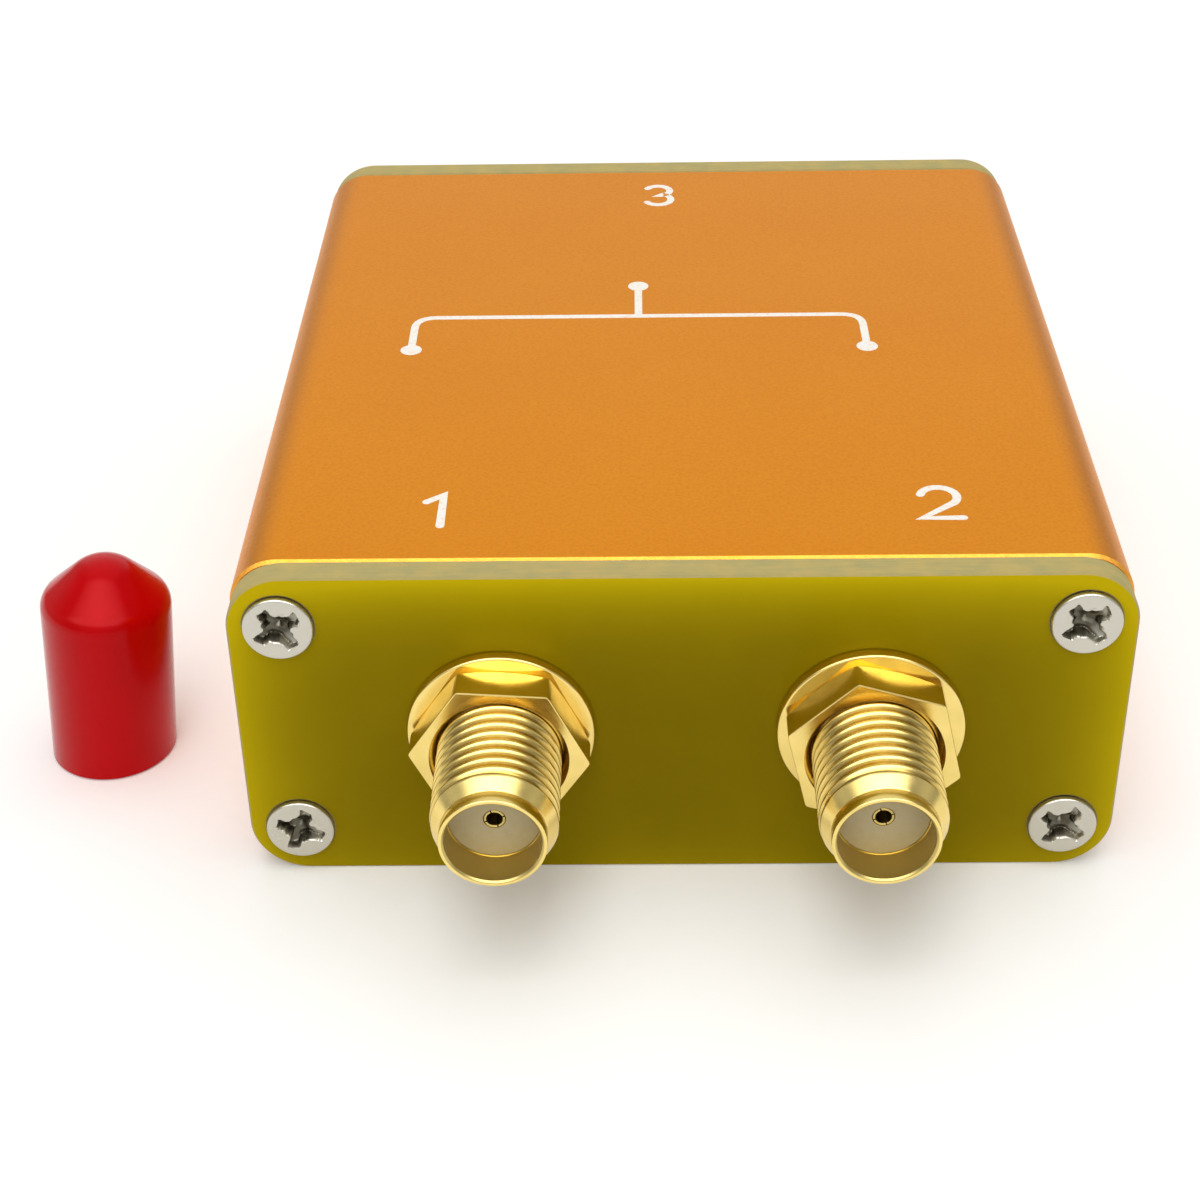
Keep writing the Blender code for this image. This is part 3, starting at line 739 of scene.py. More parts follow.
def case_mesh():
    s = sizes()
    upper = channel_outline()
    lower = [(x, -z) for x, z in reversed(upper)]
    right = upper + guide_outline() + lower
    hollow = right + [(-x, z) for x, z in reversed(right)]
    outside = rim(s.case_radius, CASE_LENGTH, s.case_chamfer)
    mesh = stacked("case_shell", [outside, straight(hollow, CASE_LENGTH)])
    mesh.transform(Matrix.Translation((0, 0, CASE_MIDDLE)) @ spin(90, "X"))
    return second_finish(mesh, lambda face: abs(face.normal.y) > 0.2)


# End plates


def plate_mesh(name, side, ports):
    """Rounded plate with a hole for each socket and a countersunk hole for each screw."""
    s = sizes()
    front = PLATE_THICKNESS / 2
    loops = [rim(s.plate_radius, PLATE_THICKNESS, s.plate_chamfer)]
    for number in ports:
        spot = middle(f"port_{number}_washer")
        hole = circle(side * -spot.x, spot.z - CASE_MIDDLE, s.barrel_radius + s.screw_clearance)
        loops.append(straight(hole, PLATE_THICKNESS))
    screw_low, screw_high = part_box("front_screw_1")
    head = (screw_high.x - screw_low.x) / 2 + s.screw_clearance
    for number in (1, 2, 3, 4):
        spot = middle(f"{name}_screw_{number}")
        at = (side * -spot.x, spot.z - CASE_MIDDLE)
        wide = circle(*at, head, 48)
        narrow = circle(*at, s.shank_radius + s.screw_clearance, 48)
        loops.append([(narrow, -front), (narrow, front - s.head_sink), (wide, front)])
    mesh = stacked(f"{name}_laminate", loops)
    shift = side * (PLATE_OUTER - front)
    upright = spin(90, "X")
    if side > 0:
        upright = spin(180, "Z") @ upright
    mesh.transform(Matrix.Translation((0, shift, CASE_MIDDLE)) @ upright)
    return shade(second_finish(mesh, lambda face: abs(face.normal.y) <= 0.75))


# Screws

RECESS_WALL = 0.16 * MM
RECESS_CORNER = 0.12 * MM
RECESS_CORNER_REACH = 0.25 * MM
RECESS_LIP = 0.05 * MM
RECESS_DENT = 0.02 * MM
FINE_WEAR, BROAD_WEAR, DENT_WEAR = 2600, 1400, 900


def fall_off(value):
    """0 below 0, 1 above 1 and a smooth step between."""
    share = min(max(value, 0), 1)
    return share * share * (3 - 2 * share)


def cross_recess(point, top):
    """Sinks a worn cross into a screw head's top face and raises a burr round it."""
    s = sizes()
    if point.z < top - 0.001 * MM:
        return point
    rough = noise.noise(point * FINE_WEAR)
    gaps = []
    for along, across in ((point.x, point.y), (point.y, point.x)):
        reach = s.recess_reach * (1 + 0.16 * rough)
        half = s.recess_width / 2 * (1.2 - 0.3 * abs(along) / reach + 0.3 * rough)
        gaps.append(max(abs(along) - reach, abs(across) - half))
    gap = min(gaps) - RECESS_CORNER * exp(-abs(gaps[0] - gaps[1]) / RECESS_CORNER_REACH) * (1 + rough)
    out = point.xy.length / s.recess_reach
    depth = s.recess_depth * max(0.3, 1 - 0.65 * out) * (1 + 0.5 * noise.noise(point * BROAD_WEAR))
    sunk = depth * fall_off(-gap / RECESS_WALL)
    lip = s.burr * exp(-(((gap - RECESS_LIP) / RECESS_LIP) ** 2)) * (0.5 + 0.9 * rough)
    dent = RECESS_DENT * noise.noise(point * DENT_WEAR)
    return Vector((point.x, point.y, point.z - sunk + lip + dent * (0.3 + fall_off(-gap / RECESS_WALL))))


def screw_mesh():
    """Head with its recess, cone, and a shank with a plain point. Height 0 is the plate's face."""
    s = sizes()
    low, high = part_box("front_screw_1")
    head = (high.x - low.x) / 2
    top = s.head_proud
    tip = top - (high.y - low.y)
    flat = head - s.head_edge
    steps = 46
    rows = [(flat * step / steps, top) for step in range(steps + 1)]
    outline = [
        (flat, top),
        (head, top),
        (head, 0),
        (s.shank_radius, -s.head_sink),
        (s.shank_radius, tip + s.shank_radius),
        (0, tip),
    ]
    rows += softened(outline, s.head_edge, steps=4)[1:]
    return turned("screw", rows, columns=112, bend=lambda point: cross_recess(point, top))


def point_cloud(name, places):
    """Loose points that carry where a copy faces, as Euler angles."""
    mesh = bpy.data.meshes.new(name)
    mesh.from_pydata([place.to_translation() for place in places], [], [])
    turns = mesh.attributes.new(FACING, "FLOAT_VECTOR", "POINT")
    for i, place in enumerate(places):
        turns.data[i].vector = place.to_euler()
    return mesh


def group_tree(name, sockets):
    """An empty Geometry Nodes tree with named inputs."""
    tree = bpy.data.node_groups.new(name, "GeometryNodeTree")
    tree.interface.new_socket("Points", in_out="INPUT", socket_type="NodeSocketGeometry")
    for label, kind in sockets:
        tree.interface.new_socket(label, in_out="INPUT", socket_type=f"NodeSocket{kind}")
    tree.interface.new_socket("Copies", in_out="OUTPUT", socket_type="NodeSocketGeometry")
    return tree, tree.nodes.new("NodeGroupInput").outputs


def end_tree(tree, given, shape):
    """Copies the shape to each point, facing as the point says, and gives it the finish."""
    turns = node(tree, "GeometryNodeInputNamedAttribute", {"Name": FACING}, data_type="FLOAT_VECTOR")
    turn = node(tree, "FunctionNodeEulerToRotation", {0: turns.outputs["Attribute"]}).outputs[0]
    placed = {"Points": given["Points"], "Instance": shape, "Rotation": turn}
    copies = node(tree, "GeometryNodeInstanceOnPoints", placed).outputs[0]
    real = node(tree, "GeometryNodeRealizeInstances", {"Geometry": copies}).outputs[0]
    done = node(tree, "GeometryNodeSetMaterial", {"Geometry": real, "Material": given["Finish"]}).outputs[0]
    node(tree, "NodeGroupOutput", {"Copies": done})
    return tree


def copies_tree():
    """Places copies of an object on points."""
    tree, given = group_tree("fasteners", [("Shape", "Object"), ("Finish", "Material")])
    shape = node(tree, "GeometryNodeObjectInfo", {"Object": given["Shape"]}).outputs["Geometry"]
    return end_tree(tree, given, shape)


def grown(name, places, tree, values):
    """The mesh that a tree makes on those places, with its inputs set by their identifiers."""
    work = linked(name, point_cloud(name, places))
    modifier = work.modifiers.new("grow", "NODES")
    modifier.node_group = tree
    for item in tree.interface.items_tree:
        if item.name in values:
            modifier[item.identifier] = values[item.name]
    mesh = plain_mesh(work, name)
    mesh.materials.clear()
    return mesh


# Socket threads

ROWS_PER_TURN = 12
THREAD_COLUMNS = 97
THREAD_FLANK = (0.2, 0.85)
THREAD_FADE = (0.8, 1.5)


def thread_tree():
    """A thread as one skin: a grid rolled round the axis, whose rows climb one pitch in each turn.

    Its first and last rows lie inside the barrel's wall, which closes it to a ring, and its sides meet
    underneath. The attribute's third number is 0 on the crest and 1 at the root, for the finish.
    """
    lengths = ("Crest", "Root", "Inside", "Mouth", "Taper", "Pitch", "Start", "End")
    sockets = [(name, "Float") for name in lengths]
    sockets += [("Rows", "Int"), ("Columns", "Int"), ("Finish", "Material")]
    tree, given = group_tree("socket_thread", sockets)
    crest, root, inside, mouth, taper, pitch, start, end = [given[name] for name in lengths]
    calc = partial(math, tree)
    counts = {"Size X": 1, "Size Y": 1, "Vertices X": given["Columns"], "Vertices Y": given["Rows"]}
    grid = node(tree, "GeometryNodeMeshGrid", counts).outputs["Mesh"]
    place = parts(tree, node(tree, "GeometryNodeInputPosition").outputs[0])
    lap = calc("ADD", place["X"], 0.5)
    last = calc("SUBTRACT", given["Rows"], 1)
    row = calc("ROUND", calc("MULTIPLY", calc("ADD", place["Y"], 0.5), last))
    is_first = calc("LESS_THAN", row, 0.5)
    is_last = calc("GREATER_THAN", row, calc("SUBTRACT", last, 0.5))
    is_inside = calc("GREATER_THAN", row, calc("SUBTRACT", last, 1.5))

    climb = calc("DIVIDE", calc("SUBTRACT", row, 1), ROWS_PER_TURN)
    turns = calc("SUBTRACT", calc("ADD", climb, lap), 1)
    raw = calc("MULTIPLY_ADD", turns, pitch, start)
    height = calc("MINIMUM", calc("MAXIMUM", raw, start), end)
    height = blend(tree, calc("MAXIMUM", is_first, is_last), height, start)

    phase = calc("FRACT", calc("ADD", climb, 0.5 / ROWS_PER_TURN))
    ramp = calc("ABSOLUTE", calc("MULTIPLY_ADD", phase, 2, -1))
    below = calc("SUBTRACT", end, height)
    fading = spread(tree, calc("DIVIDE", below, taper), *THREAD_FADE)
    flank = calc("MULTIPLY", spread(tree, ramp, *THREAD_FLANK), fading)
    radius = blend(tree, flank, crest, root)
    slope = calc("DIVIDE", calc("SUBTRACT", crest, mouth), taper)
    lead = calc("MULTIPLY_ADD", below, slope, mouth)
    run_out = calc("ADD", root, calc("SUBTRACT", height, start))
    radius = calc("MINIMUM", radius, calc("MINIMUM", lead, run_out))
    radius = blend(tree, calc("MAXIMUM", is_first, is_inside), radius, inside)

    turn = calc("MULTIPLY_ADD", lap, 2 * pi, -pi / 2)
    cosine = calc("COSINE", turn)
    sine = calc("SINE", turn)
    across = {0: calc("MULTIPLY", radius, cosine), 1: calc("MULTIPLY", radius, sine), 2: height}
    spot = node(tree, "ShaderNodeCombineXYZ", across).outputs[0]
    travel = node(tree, "ShaderNodeCombineXYZ", {0: cosine, 1: sine, 2: flank}).outputs[0]
    mark = {"Geometry": grid, "Name": TURNING, "Value": travel}
    shape = node(tree, "GeometryNodeStoreNamedAttribute", mark, data_type="FLOAT_VECTOR").outputs[0]
    shape = node(tree, "GeometryNodeSetPosition", {"Geometry": shape, "Position": spot}).outputs[0]
    merge = {"Geometry": shape, "Distance": 0.001 * MM}
    shape = node(tree, "GeometryNodeMergeByDistance", merge).outputs[0]
    shape = node(tree, "GeometryNodeSetShadeSmooth", {"Geometry": shape}).outputs[0]
    return end_tree(tree, given, shape)


# Sockets

EDGE = 0.06 * MM
DISC_GAP = 0.02 * MM
THREAD_SINK = 0.1 * MM
WASHER_TOP_ROUND = 0.14 * MM
WASHER_FOOT_ROUND = 0.05 * MM
NUT_CORNER_WEAR = 0.035 * MM
NUT_FACE_EDGE = 0.05 * MM


def span(part):
    """The radius of a socket's part, and its inner and outer ends from the plate's face."""
    low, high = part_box(f"port_1_{part}")
    return (high.x - low.x) / 2, -(high.y + PLATE_OUTER), -(low.y + PLATE_OUTER)


def socket_turn(number):
    """Half a turn for a socket on the rear plate, so that its underside stays underneath."""
    return 180 if middle(f"port_{number}_washer").y > 0 else 0


def shell_mesh():
    """Plain mouth and bore, the core under the thread, and the square flange with its four legs."""
    s = sizes()
    core = span("insulator")[0] + SEAT
    leg_end = span("body")[1]
    shoulder = -PLATE_THICKNESS - SEAT
    back = shoulder - s.flange_thickness
    mouth = s.barrel_reach
    neck = mouth - s.mouth_neck
    seat = mouth - s.bore_depth
    disc = s.disc_rim + DISC_GAP
    under = s.mouth_radius - 0.03 * MM
    lip = 0.1 * MM
    barrel = [
        (core, back),
        (under, back),
        (under, neck - EDGE),
        (s.mouth_radius, neck),
        (s.mouth_radius, mouth, EDGE),
        (s.bore_radius + lip, mouth, EDGE / 2),
        (s.bore_radius, mouth - lip, EDGE / 2),
        (s.bore_radius, seat),
        (disc, seat),
        (disc, seat - s.disc_step),
        (core, seat - s.disc_step),
    ]
    square = rounded_rectangle(s.flange_side, s.flange_side, s.flange_corner, 6)
    rims = [straight(outline, s.flange_thickness) for outline in (square, circle(0, 0, core))]
    flange = stacked("flange", rims)
    flange.transform(Matrix.Translation((0, 0, shoulder - s.flange_thickness / 2)))
    meshes = [turned("barrel", softened(barrel, closed=True), closed=True, columns=128), flange]
    board_low, board_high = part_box("circuit_board")
    port = middle("port_1_washer")
    leg = s.leg_side
    for rise in (board_high.z + SEAT + leg / 2 - port.z, board_low.z - SEAT - leg / 2 - port.z):
        for sx in (-1, 1):
            spot = (sx * s.leg_offset, rise, (back + leg_end) / 2)
            meshes.append(block("leg", (leg, leg, back - leg_end), spot))
    mesh = joined("shell", meshes)
    # Faces inside the mouth take the second finish, the gold with painted shade
    return second_finish(mesh, lambda face: face.center.z > 0 > face.center.xy.dot(face.normal.xy))


def washer_mesh():
    outside, bottom, top = span("washer")
    inside = sizes().barrel_radius + EDGE
    profile = [(inside, bottom), (inside, top)]
    profile += [(outside, top, WASHER_TOP_ROUND), (outside, bottom, WASHER_FOOT_ROUND)]
    return turned("washer", softened(profile, closed=True, steps=5), closed=True, columns=144)


def nut_mesh():
    """Hexagon with its corners turned off on the washer's side and a cone at its mouth."""
    s = sizes()
    bottom, top = span("nut")[1:]
    flat = s.nut_flat
    corner = flat / cos(pi / 6) - NUT_CORNER_WEAR
    inside = s.barrel_radius + EDGE
    slope = tan(radians(30))
    start = flat - NUT_FACE_EDGE

    def hexagon(turn):
        """The hexagon's radius, with a corner at 30 degrees and at every 60 from there."""
        from_flat = (turn + pi / 6) % (pi / 3) - pi / 6
        return min(flat / cos(from_flat), corner)

    rows = [
        (inside, bottom),
        (start, bottom),
        lambda turn: (hexagon(turn), bottom + (hexagon(turn) - start) * slope),
        lambda turn: (hexagon(turn), top - EDGE),
        lambda turn: (hexagon(turn) - EDGE * 0.3, top - EDGE * 0.3),
        lambda turn: (hexagon(turn) - EDGE, top),
        (s.nut_mouth, top),
        (inside, top - s.nut_mouth_depth),
    ]
    return shade(turned("nut", rows, closed=True, columns=180), 20)


def insulator_mesh():
    s = sizes()
    outside, bottom, _ = span("insulator")
    inside = span("contact")[0] + SEAT
    top = s.barrel_reach - s.bore_depth
    step = top - s.disc_step
    front = s.contact_front + s.contact_gap
    profile = [
        (inside, bottom),
        (inside, step),
        (front, step),
        (front, top, 0.03 * MM),
        (s.disc_rim, top, 0.04 * MM),
        (s.disc_rim, step + DISC_GAP),
        (outside, step + DISC_GAP),
        (outside, bottom),
    ]
    return turned("insulator", softened(profile, closed=True), closed=True)


def contact_mesh():
    """Slit socket contact with a rounded lip and a solid tail."""
    s = sizes()
    outside, bottom, _ = span("contact")
    top = s.barrel_reach - s.bore_depth
    end = top - s.contact_depth
    shoulder = top - s.disc_step - s.contact_gap
    step = span("insulator")[1]
    profile = [
        (0, end),
        (s.contact_bore, end + s.contact_bore),
        (s.contact_bore, top, 0.04 * MM),
        (s.contact_front, top, 0.1 * MM),
        (s.contact_front, shoulder),
        (outside, shoulder),
        (outside, step),
        (s.contact_tail, step),
        (s.contact_tail, bottom),
        (0, bottom),
    ]
    solid = turned("contact", softened(profile, steps=5), columns=64)
    slits = []
    for number in range(2):
        blade = block("slit", (outside * 3, s.contact_slit, 1.6 * s.contact_depth), (0, 0, top))
        slits.append((blade, spin(90 * number + 20, "Z")))
    return shade(cut("contact", solid, slits))


# Dust cap

CAP_LEAN_RIGHT = 4
CAP_LEAN_BACK = 3
CAP_SLOPE = 43
CAP_FOOT = 0.02 * MM
CAP_LEVEL = 0.5 * MM


def cap_mesh():
    """A dipped shell on its open end, leaning, with its rim cut off level."""
    s = sizes()
    vertices = [vert.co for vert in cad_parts["dust_cap"].data.vertices]
    foot = [point for point in vertices if point.z < CAP_FOOT]
    centre_x = (min(point.x for point in foot) + max(point.x for point in foot)) / 2
    centre_y = (min(point.y for point in foot) + max(point.y for point in foot)) / 2
    slope = radians(CAP_SLOPE)
    round_x = s.cap_shoulder - s.cap_round
    cone_x = round_x + s.cap_round * sin(slope)
    cone_z = s.cap_height + s.cap_round * cos(slope)
    tip_x = s.cap_tip * sin(slope)
    tip_z = cone_z + (cone_x - tip_x) * tan(slope) - s.cap_tip * cos(slope)

    def skin(inset):
        """The shell's surface, `inset` inside the outer one, from the tip to the rim."""
        top = arc((0, tip_z), s.cap_tip - inset, 90, 90 - CAP_SLOPE, 10)
        side = arc((round_x, s.cap_height), s.cap_round - inset, 90 - CAP_SLOPE, 0, 14)
        wall = []
        for share in (0.8, 0.6, 0.4, 0.2):
            radius = s.cap_shoulder - inset - (s.cap_shoulder - s.cap_rim) * (1 - share)
            wall.append((radius, s.cap_height * share))
        return [(0, top[0][1])] + top[1:] + side + wall

    edge = s.cap_wall * 0.3
    inside = s.cap_rim - s.cap_wall
    lip = [(s.cap_rim, edge), (s.cap_rim - edge, 0), (inside + edge, 0), (inside, edge)]
    mesh = turned("cap", skin(0) + lip + skin(s.cap_wall)[::-1], columns=128)
    lean = spin(CAP_LEAN_RIGHT, "Y") @ spin(-CAP_LEAN_BACK, "X")
    axis = lean @ Vector((0, 0, 1))
    for vert in mesh.vertices:
        height = vert.co.z
        point = lean @ vert.co
        if height < CAP_LEVEL:
            point -= axis * ((point.z - height) / axis.z)
        vert.co = point + Vector((centre_x, centre_y, 0))
    return shade(mesh)


# Prints: port numerals and a plain branching line, placed in millimetres

PRINT_THICKNESS = 0.006 * MM
PRINT_STEP = 0.001 * MM
NUMERAL_PLACES = ((-12.3, -19.3), (13.4, -18.9), (-0.6, 20.1))
FORK_LEFT = -15.2
FORK_RIGHT = 11.2
FORK_STEM = -2.0
FORK_REAR = 6.6
FORK_BAR = 2.6
FORK_FRONT = -1.5
FORK_BEND = 1.3
FORK_DOT = 0.62


def numeral_lines():
    """The pen's path for 1, 2 and 3, three millimetres tall about the origin."""
    one = [(-0.75, 0.85), (0.1, 1.5), (0.1, -1.5)]
    two = arc((0, 0.55), 0.95, 165, -38, 12) + [(-1.0, -1.5), (1.05, -1.5)]
    three = arc((-0.05, 0.72), 0.78, 150, -90, 12) + arc((-0.05, -0.66), 0.84, 90, -150, 12)[1:]
    return one, two, three


def fork_lines():
    """A line that runs from the third port's side and parts to the other two."""
    left = [(FORK_LEFT, FORK_FRONT), (FORK_LEFT, FORK_BAR)]
    right = [(FORK_RIGHT, FORK_BAR), (FORK_RIGHT, FORK_FRONT)]
    stem = [(FORK_STEM, FORK_REAR), (FORK_STEM, FORK_BAR)]
    return softened(left + right, FORK_BEND, steps=6), stem


def pen_outline(points, width):
    """The outline of a stroke with round ends that follows the points."""
    points = [Vector(point) for point in points]
    sides = [[], []]
    for i, point in enumerate(points):
        back = (point - points[max(i - 1, 0)]).normalized()
        ahead = (points[min(i + 1, len(points) - 1)] - point).normalized()
        along = (back + ahead).normalized()
        across = Vector((-along.y, along.x)) * width / 2
        across /= max(along.dot(back if i else ahead), 0.5)
        sides[0].append(tuple(point + across))
        sides[1].append(tuple(point - across))
    first = points[1] - points[0]
    last = points[-1] - points[-2]
    turn, turn_back = (-degrees(Vector((1, 0)).angle_signed(way, 0)) for way in (last, first))
    end = arc(points[-1], width / 2, turn + 90, turn - 90, 8)[1:-1]
    start = arc(points[0], width / 2, turn_back - 90, turn_back - 270, 8)[1:-1]
    return sides[0] + end + sides[1][::-1] + start


def print_meshes():
    """Each stroke and dot, a little higher than the one before where they cross."""
    width = sizes().print_line / MM
    outlines = []
    for (x, y), line in zip(NUMERAL_PLACES, numeral_lines()):
        outlines.append([(x + px, y + py) for px, py in pen_outline(line, width)])
    outlines += [pen_outline(line, width) for line in fork_lines()]
    for spot in ((FORK_LEFT, FORK_FRONT), (FORK_RIGHT, FORK_FRONT), (FORK_STEM, FORK_REAR)):
        outlines.append(arc(spot, FORK_DOT, 0, 360, 24)[:-1])
    meshes = []
    for number, outline in enumerate(outlines):
        thickness = PRINT_THICKNESS + number * PRINT_STEP
        mesh = stacked("stroke", [straight([(x * MM, y * MM) for x, y in outline], thickness)])
        mesh.transform(Matrix.Translation((0, 0, CASE_HEIGHT)))
        meshes.append(mesh)
    return meshes


# Operators


class SplitterOperator:
    """What the operators share."""

    bl_options = {"REGISTER", "UNDO"}

    def execute(self, context):
        self.build()
        return {"FINISHED"}


class SPLITTER_OT_case(SplitterOperator, bpy.types.Operator):
    """Build the extruded case with its sawn ends"""

    bl_idname = "splitter.case"
    bl_label = "Case"

    def build(self):
        add_piece("case_shell", case_mesh(), (anodised, cut_metal), ["case"])


class SPLITTER_OT_plates(SplitterOperator, bpy.types.Operator):
    """Build the two laminate end plates"""

    bl_idname = "splitter.plates"
    bl_label = "End plates"

    def build(self):
        makers = (laminate_face, laminate_edge)
        for name, side, ports in (("front", -1, (1, 2)), ("rear", 1, (3,))):
            mesh = plate_mesh(name, side, ports)
            add_piece(f"{name}_laminate", mesh, makers, [f"{name}_plate"])


class SPLITTER_OT_screws(SplitterOperator, bpy.types.Operator):
    """Copy one worn screw to its eight places"""

    bl_idname = "splitter.screws"
    bl_label = "Screws"

    def build(self):
        template = linked("screw_shape", screw_mesh())
        places = [node_facing(name, turn) for name, turn in zip(SCREWS, SCREW_TURNS)]
        values = {"Shape": template, "Finish": finish(nickel)}
        mesh = grown("case_screws", places, copies_tree(), values)
        bpy.data.objects.remove(template, do_unlink=True)
        add_piece("case_screws", mesh, (nickel,), SCREWS)


class SPLITTER_OT_threads(SplitterOperator, bpy.types.Operator):
    """Roll the thread of the three sockets"""

    bl_idname = "splitter.threads"
    bl_label = "Socket threads"

    def build(self):
        s = sizes()
        start = -PLATE_THICKNESS - SEAT - s.flange_thickness / 2
        end = s.barrel_reach - s.mouth_neck
        values = {
            "Crest": s.barrel_radius,
            "Root": s.barrel_radius - s.thread_depth,
            "Inside": s.mouth_radius - THREAD_SINK,
            "Mouth": s.mouth_radius,
            "Taper": s.mouth_taper,
            "Pitch": s.thread_pitch,
            "Start": start,
            "End": end,
            "Rows": ceil(ROWS_PER_TURN * ((end - start) / s.thread_pitch + 1)) + 4,
            "Columns": THREAD_COLUMNS,
            "Finish": finish(thread_gold),
        }
        places = [node_facing(f"port_{number}_washer", socket_turn(number)) for number in PORTS]
        mesh = grown("socket_threads", places, thread_tree(), values)
        add_piece("socket_threads", mesh, (thread_gold,))


class SPLITTER_OT_sockets(SplitterOperator, bpy.types.Operator):
    """Build each socket's shell, washer, nut, insulator and contact"""

    bl_idname = "splitter.sockets"
    bl_label = "Sockets"

    def build(self):
        makers = (
            ("shell", "body", shell_mesh, (gold, bore_gold), "gold_plate"),
            ("washer_ring", "washer", washer_mesh, (gold,), "gold_plate"),
            ("hex_nut", "nut", nut_mesh, (gold,), "gold_plate"),
            ("disc", "insulator", insulator_mesh, (fluoroplastic,), "fluoroplastic"),
            # The contact takes the gold with painted shade
            ("pin_socket", "contact", contact_mesh, (bore_gold,), "gold_plate"),
        )
        for number, nut_turn in zip(PORTS, NUT_TURNS):
            for piece, part, maker, looks, slot in makers:
                turn = nut_turn if part == "nut" else socket_turn(number)
                place = node_facing(f"port_{number}_washer", turn)
                name = f"port_{number}_{piece}"
                add_piece(name, maker(), looks, [f"port_{number}_{part}"], place)


class SPLITTER_OT_cap(SplitterOperator, bpy.types.Operator):
    """Build the loose dust cap"""

    bl_idname = "splitter.cap"
    bl_label = "Dust cap"

    def build(self):
        add_piece("red_cap", cap_mesh(), (vinyl,), ["dust_cap"])


class SPLITTER_OT_prints(SplitterOperator, bpy.types.Operator):
    """Print the port numerals and the branching line on the case's top"""

    bl_idname = "splitter.prints"
    bl_label = "Prints"

    def build(self):
        mesh = joined("top_prints", print_meshes())
        add_piece("top_prints", mesh, (white_print,))


class SPLITTER_OT_inside(SplitterOperator, bpy.types.Operator):
    """Give the board, coils and chips their finishes"""

    bl_idname = "splitter.inside"
    bl_label = "Inside"

    def build(self):
        looks = {
            "circuit": (solder_mask, "board"),
            "coil": (enamel, "enamelled_wire"),
            "capacitor": (chip_ceramic, "chip_ceramic"),
        }
        for name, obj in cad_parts.items():
            look = looks.get(name.split("_")[0])
            if look:
                obj.data.materials.clear()
                obj.data.materials.append(finish(look[0]))


# Stage

CAMERA_PLACE = (-2.068 * MM, -118.919 * MM, 79.571 * MM)
CAMERA_DOWN = 33.794
CAMERA_YAW = 1.197
CAMERA_ROLL = -1.085
CAMERA_LENS = 68.163
FLOOR_SIZE = 6.0
FLOOR_LIFT = 0.12
FAR_LIFT = 0.6
FAR_WAY = (0.1, 0.4)
WORLD_LIGHT = 0.62
SKY_RISE = (0.0, 0.30)
SKY_LEVELS = (0.42, 0.90)
SIDE_WAY = (0.3, 0.85)
SIDE_SHADE = 0.35
DARK_WAY = (0.5, 0.62, 0.76, 0.92)
DARK_SHADE = 0.45
WINDOW_LEVEL = 3.2
WINDOW_RISE = (0.42, 0.56)
WINDOW_WAY = (-0.15, -0.4)
WINDOW_SIDE = (0.56, 0.76)
WINDOW_SHIFT = 0.07
LAMPS = (
    ("key_light", (-0.05, -0.3, 0.45), (-0.05, -0.3, 0), (0.2, 0.5), 1.0),
    ("top_light", (0.03, 0.1, 0.5), (0, 0, 0), (0.5, 0.4), 0.75),
)


def make_camera():
    data = bpy.data.cameras.new("camera")
    data.lens = CAMERA_LENS
    data.sensor_width = 36
    data.clip_start = 0.001
    data.clip_end = 50
    camera = linked("camera", data)
    aim = spin(CAMERA_YAW, "Z") @ spin(90 - CAMERA_DOWN, "X")
    aim = aim @ spin(CAMERA_ROLL, "Z")
    camera.matrix_world = Matrix.Translation(CAMERA_PLACE) @ aim
    bpy.context.scene.camera = camera


def seen_directly(tree):
    """1 for camera, glossy and transmission rays, which show the white background."""
    rays = node(tree, "ShaderNodeLightPath").outputs
    seen = math(tree, "MAXIMUM", rays["Is Camera Ray"], rays["Is Glossy Ray"])
    return math(tree, "MAXIMUM", seen, rays["Is Transmission Ray"])


def make_floor():
    """A pale table. What the camera sees of it is lifted to white, and its shadows stay."""
    made, tree = new_finish("floor", colours().floor, 0.9, 0, Specular_IOR_Level=0)
    off = node(tree, "ShaderNodeVectorMath", {0: object_place(tree)}, operation="LENGTH").outputs["Value"]
    seen = node(tree, "ShaderNodeLightPath").outputs["Is Camera Ray"]
    far = math(tree, "MULTIPLY", seen, spread(tree, off, *FAR_WAY, 0, FAR_LIFT))
    near = math(tree, "MULTIPLY", seen_directly(tree), FLOOR_LIFT)
    lift = node(tree, "ShaderNodeEmission", {"Strength": math(tree, "ADD", near, far)}).outputs[0]
    shader = tree.nodes["Principled BSDF"].outputs[0]
    both = node(tree, "ShaderNodeAddShader", {0: shader, 1: lift}).outputs[0]
    tree.links.new(both, tree.nodes["Material Output"].inputs["Surface"])
    half = FLOOR_SIZE / 2
    corners = [(x * half, y * half, 0) for x, y in ((-1, -1), (1, -1), (1, 1), (-1, 1))]
    mesh = bpy.data.meshes.new("floor")
    mesh.from_pydata(corners, [], [(0, 1, 2, 3)])
    mesh.materials.append(made)
    floor = linked("floor", mesh)


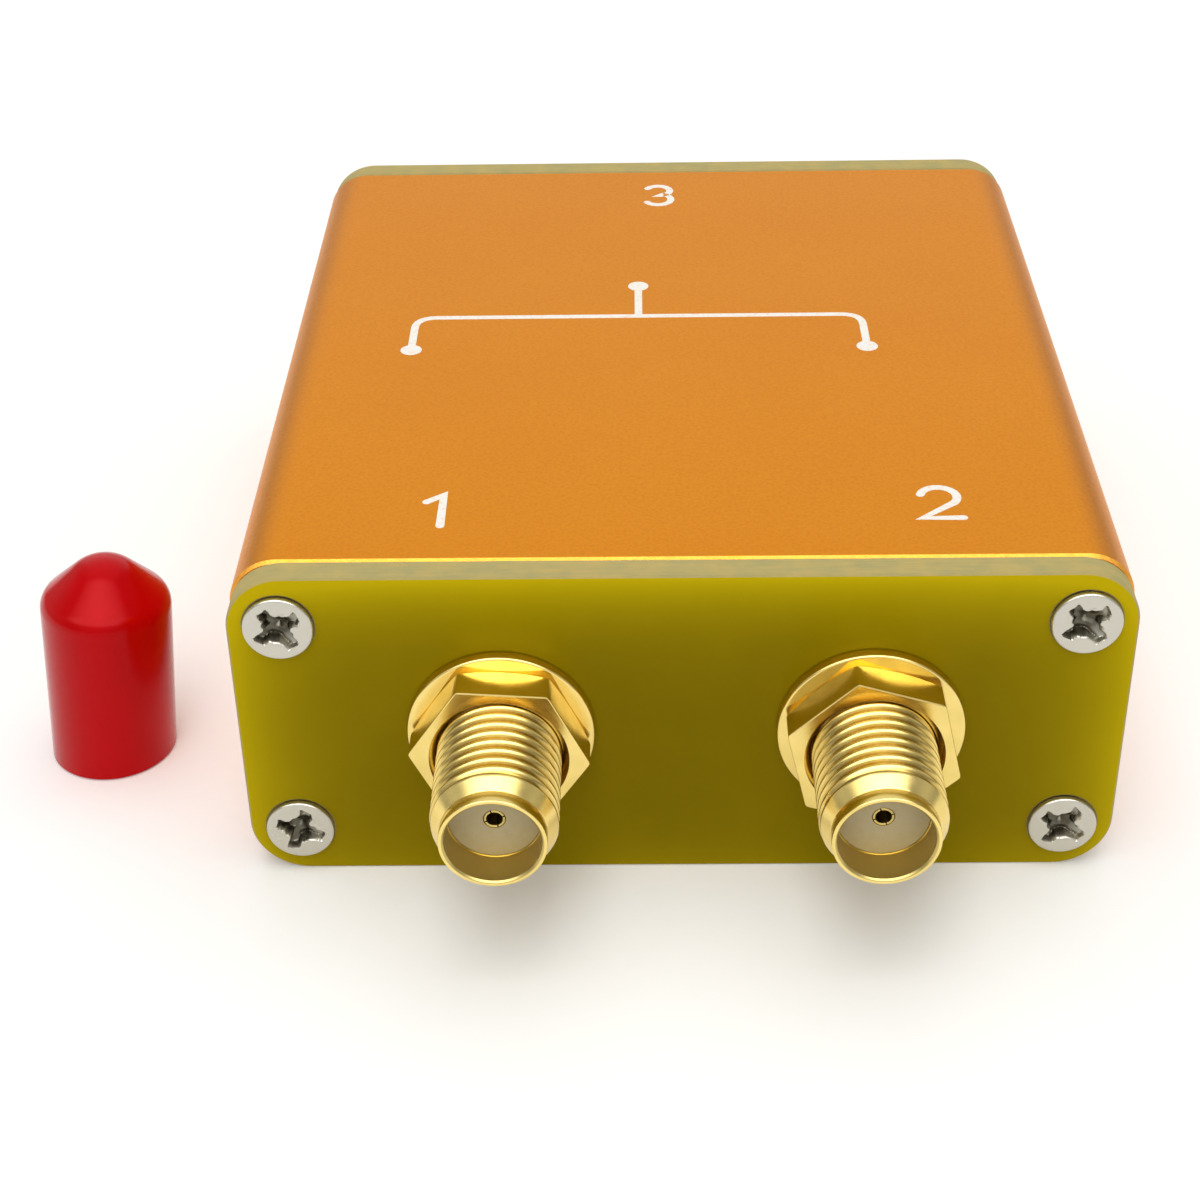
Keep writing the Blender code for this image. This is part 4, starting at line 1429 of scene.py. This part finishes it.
def make_world():
    world = bpy.data.worlds.new("studio")
    bpy.context.scene.world = world
    world.use_nodes = True
    tree = world.node_tree
    background = tree.nodes["Background"]
    background.inputs["Color"].default_value = (1, 1, 1, 1)
    rays = node(tree, "ShaderNodeLightPath").outputs
    way = parts(tree, node(tree, "ShaderNodeTexCoord").outputs["Generated"])
    sky = spread(tree, way["Z"], *SKY_RISE, *SKY_LEVELS)
    side = math(tree, "ABSOLUTE", way["X"])
    sky = math(tree, "MULTIPLY", sky, spread(tree, side, *SIDE_WAY, 1, 1 - SIDE_SHADE))
    dark = spread(tree, side, *DARK_WAY[:2], 0, DARK_SHADE)
    dark = math(tree, "MULTIPLY", dark, spread(tree, side, *DARK_WAY[2:], 1, 0))
    sky = math(tree, "MULTIPLY", sky, math(tree, "SUBTRACT", 1, dark))
    window = spread(tree, way["Z"], *WINDOW_RISE, 0, WINDOW_LEVEL)
    window = math(tree, "MULTIPLY", window, spread(tree, way["Y"], *WINDOW_WAY))
    off_middle = math(tree, "ABSOLUTE", math(tree, "ADD", way["X"], WINDOW_SHIFT))
    window = math(tree, "MULTIPLY", window, spread(tree, off_middle, *WINDOW_SIDE, 1, 0))
    sky = math(tree, "ADD", sky, window)
    seen = math(tree, "MAXIMUM", rays["Is Camera Ray"], rays["Is Transmission Ray"])
    level = blend(tree, rays["Is Glossy Ray"], WORLD_LIGHT, sky)
    tree.links.new(blend(tree, seen, level, 1.0), background.inputs["Strength"])


def make_lamp(name, place, target, size, power):
    """A rectangular soft light that metal doesn't mirror."""
    data = bpy.data.lights.new(name, "AREA")
    data.shape = "RECTANGLE"
    data.size = size[0]
    data.size_y = size[1]
    data.energy = power
    lamp = linked(name, data)
    lamp.visible_glossy = False
    aim = (Vector(target) - Vector(place)).to_track_quat("-Z", "Y")
    lamp.matrix_world = Matrix.Translation(place) @ aim.to_matrix().to_4x4()


class SPLITTER_OT_stage(SplitterOperator, bpy.types.Operator):
    """Set the camera, floor, world and lamps"""

    bl_idname = "splitter.stage"
    bl_label = "Stage"

    def build(self):
        make_camera()
        make_floor()
        make_world()
        for lamp in LAMPS:
            make_lamp(*lamp)
        bpy.context.scene.view_settings.view_transform = "Standard"


class SPLITTER_PT_panel(bpy.types.Panel):
    """Lists the pieces in the sidebar."""

    bl_label = "Splitter"
    bl_idname = "SPLITTER_PT_panel"
    bl_space_type = "VIEW_3D"
    bl_region_type = "UI"
    bl_category = "Splitter"

    def draw(self, context):
        for operator in OPERATORS:
            self.layout.operator(operator.bl_idname)
        for group in (context.scene.splitter_sizes, context.scene.splitter_colours):
            box = self.layout.box()
            for key in group.__annotations__:
                box.prop(group, key)


OPERATORS = (
    SPLITTER_OT_stage,
    SPLITTER_OT_case,
    SPLITTER_OT_plates,
    SPLITTER_OT_screws,
    SPLITTER_OT_sockets,
    SPLITTER_OT_threads,
    SPLITTER_OT_cap,
    SPLITTER_OT_prints,
    SPLITTER_OT_inside,
)
CLASSES = (SplitterSizes, SplitterColours, *OPERATORS, SPLITTER_PT_panel)


def register():
    for item in CLASSES:
        bpy.utils.register_class(item)
    bpy.types.Scene.splitter_sizes = PointerProperty(type=SplitterSizes)
    bpy.types.Scene.splitter_colours = PointerProperty(type=SplitterColours)


def unregister():
    del bpy.types.Scene.splitter_colours
    del bpy.types.Scene.splitter_sizes
    for item in reversed(CLASSES):
        bpy.utils.unregister_class(item)


def main():
    register()
    for operator in OPERATORS:
        getattr(bpy.ops.splitter, operator.bl_idname.split(".")[1])()


if __name__ == "__main__":
    main()
